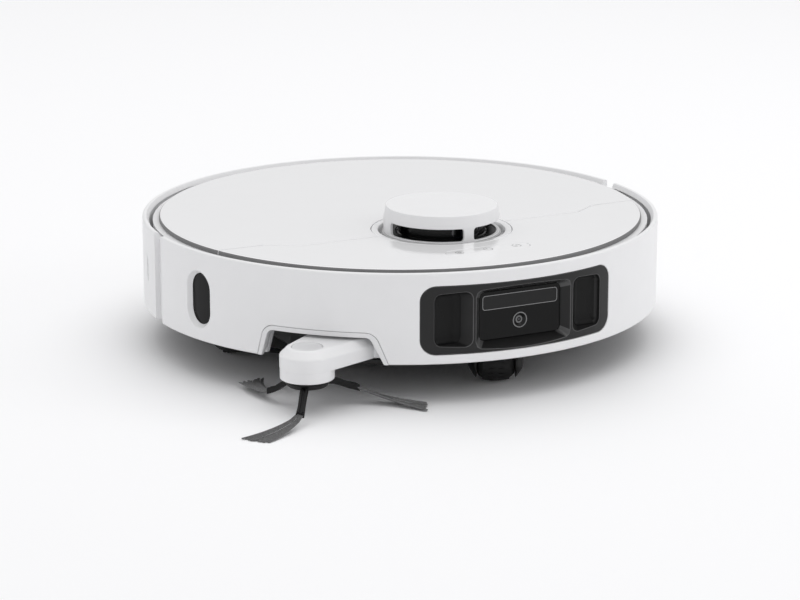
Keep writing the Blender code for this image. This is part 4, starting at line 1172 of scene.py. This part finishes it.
def make_cliff_windows():
    rings = []
    for side in ("front_left", "front_right", "side_left", "side_right"):
        low, high = (corner[2] for corner in span("cliff_sensor_" + side))
        (x, y, _), (half_x, half_y, _) = measure("cliff_sensor_" + side)
        pane = prism(rounded(half_x, half_y, 1.5, 4, (x, y)), low, high)
        round_level(pane, low, 0.4)
        publish("cliff_window_" + side, pane, "pocket", "chassis", "cliff_sensor_" + side)
        ring = [(1.3, low - 0.05), (1.8, low - 0.05), (1.8, low + 0.3), (1.3, low + 0.3)]
        rings += [lathe(ring, 24, place=at(x + dx, y)) for dx in (-3.2, 3.2)]
    publish("cliff_sensor_rings", joined(rings), "grey", "chassis")


def make_mops():
    """Round microfibre pads with a soft, uneven pile under a stiff disc."""
    rng = random.Random(3)
    for side in ("left", "right"):
        low, high = (corner[2] for corner in span("mop_pad_" + side))
        (x, y, _), (radius, _, _) = measure("mop_pad_" + side)
        under = low + 0.7
        profile = [(0, high), (radius * 0.5, high), (radius - 3, high)]
        profile += [(radius - 1.2 + 0.9 * math.cos(t), -4.2 + 4.0 * math.sin(t))
                    for t in (QUARTER * k / 4 for k in range(3, -5, -1))]
        profile += [(radius * (1 - k / 9), under) for k in range(1, 10)]
        pad = lathe(profile, 120, False, at(x, y))
        for v in pad.verts:
            spoke = math.hypot(v.co.x - x, v.co.y - y)
            if v.co.z < -2 and spoke > 1:
                groove = 0.5 * max(0.0, math.cos(6 * math.atan2(v.co.y - y, v.co.x - x))) ** 12
                v.co.z += groove + rng.uniform(-0.28, 0.28)
        item = publish("mop_pad_soft_" + side, pad, "cloth", "mop_" + side, "mop_pad_" + side,
                       sharp=75)


def make_bin():
    """Lid with a finger grip for the dust bin, and a pleated filter behind it."""
    top = span("dust_bin")[1][2]
    (x, y, _), (half_x, half_y, _) = measure("dust_bin")
    lid = prism(rounded(half_x, half_y, 4.0, 5, (x, y)), top - 2.2, top)
    round_level(lid, top, 0.6)
    hollow = rounded(19, 8.5, 8.4, 8, (x, y - 8))
    lid = combine(lid, [prism(hollow, top - 8, top + 3)])
    cup = combine(prism(rounded(20.5, 10, 9.9, 8, (x, y - 8)), top - 13, top - 1.0),
                  [prism(hollow, top - 11.5, top + 3)])
    bar = prism(rounded(3.0, 8.8, 1.2, 4, (x, y - 8)), top - 4, top - 0.2)
    publish("bin_lid", lid, "grey", "dust_bin")
    publish("bin_grip_cup", cup, "black", "dust_bin")
    publish("bin_grip_bar", bar, "soft_grey", "dust_bin")
    make_filter()


def make_filter():
    low, high = span("dust_filter")
    left, front, bottom = low
    right, back, top = high
    outline = []
    pleats = 30
    step = (right - left - 6) / pleats
    for i in range(pleats):
        a = left + 3 + step * i
        outline += [(a, front + 0.8), (a + step / 2, front + 4.5)]
    outline += [(right - 3, front + 0.8), (right - 3, back - 1), (left + 3, back - 1)]
    core = prism(outline, bottom + 2, top - 2)
    publish("pleated_filter", core, "cloth", "dust_bin", "dust_filter")
    opening = box((left + 2.6, front - 2, bottom + 1.8), (right - 2.6, back + 2, top - 1.8))
    publish("filter_frame", combine(box(low, high), [opening]), "soft_grey", "dust_bin")


# ---------------------------------------------------------------- stage

def make_stage():
    floor = bmesh.new()
    bmesh.ops.create_grid(floor, x_segments=1, y_segments=1, size=8.0)
    bmesh.ops.translate(floor, verts=floor.verts, vec=(0, 0, FLOOR_Z * MM - 0.0002))
    mesh = mesh_of("floor", floor)
    mesh.materials.append(material("pale_floor", grey(252), 0.9, mottle=0.0, specular=0.1))
    put("floor", mesh)
    world = bpy.data.worlds.new("studio")
    bpy.context.scene.world = world
    world.use_nodes = True
    back = world.node_tree.nodes["Background"]
    back.inputs["Strength"].default_value = 0.78
    nodes, links = world.node_tree.nodes, world.node_tree.links
    split = nodes.new("ShaderNodeSeparateXYZ")
    links.new(nodes.new("ShaderNodeTexCoord").outputs["Generated"], split.inputs["Vector"])
    sky = nodes.new("ShaderNodeValToRGB")
    low, high = sky.color_ramp.elements
    low.position, low.color = 0.0, (0.74, 0.74, 0.75, 1.0)
    high.position, high.color = 0.9, (1.0, 1.0, 1.0, 1.0)
    links.new(split.outputs["Z"], sky.inputs["Fac"])
    links.new(sky.outputs["Color"], back.inputs["Color"])
    bpy.context.scene.view_settings.view_transform = "Standard"


def soft_light(name, place, target, size, power):
    light = bpy.data.lights.new(name, "AREA")
    light.shape = "RECTANGLE"
    light.size, light.size_y = size
    light.energy = power
    item = put(name, light)
    item.location = place
    item.rotation_euler = (Vector(target) - Vector(place)).to_track_quat("-Z", "Y").to_euler()


def make_lights():
    soft_light("top_softbox", (0.3, 0.3, 2.2), (0, 0, 0.05), (3.2, 3.2), 22.0)
    soft_light("right_softbox", (1.5, -1.0, 0.7), (0, 0, 0.04), (1.0, 0.8), 3.0)


def make_camera():
    """A long lens that looks at the lip's middle from the front right, slightly from above."""
    distance, azimuth, elevation = 2.0, -27.3, 13.23
    tilt = 1.762                # the lens points a little below the lip's middle
    turn, rise = math.radians(azimuth), math.radians(elevation)
    aim = Vector((0, 0, TOP_Z * MM))
    away = Vector((math.sin(turn) * math.cos(rise), -math.cos(turn) * math.cos(rise),
                   math.sin(rise)))
    lens = bpy.data.cameras.new("camera")
    lens.sensor_width = 36.0
    lens.lens = 132.05
    item = put("camera", lens)
    item.location = aim + away * distance
    item.rotation_euler = (QUARTER - rise - math.radians(tilt), 0, turn)
    bpy.context.scene.camera = item


# ---------------------------------------------------------------- assembly

dress_cad_nodes()
make_bumper()
make_rear_shell()
make_contacts()
make_top()
make_turret()
make_bezel()
make_window()
make_arm()
make_brush()
make_wheels()
make_caster()
make_roller()
make_underside()
make_mops()
make_bin()
make_stage()
make_lights()
make_camera()
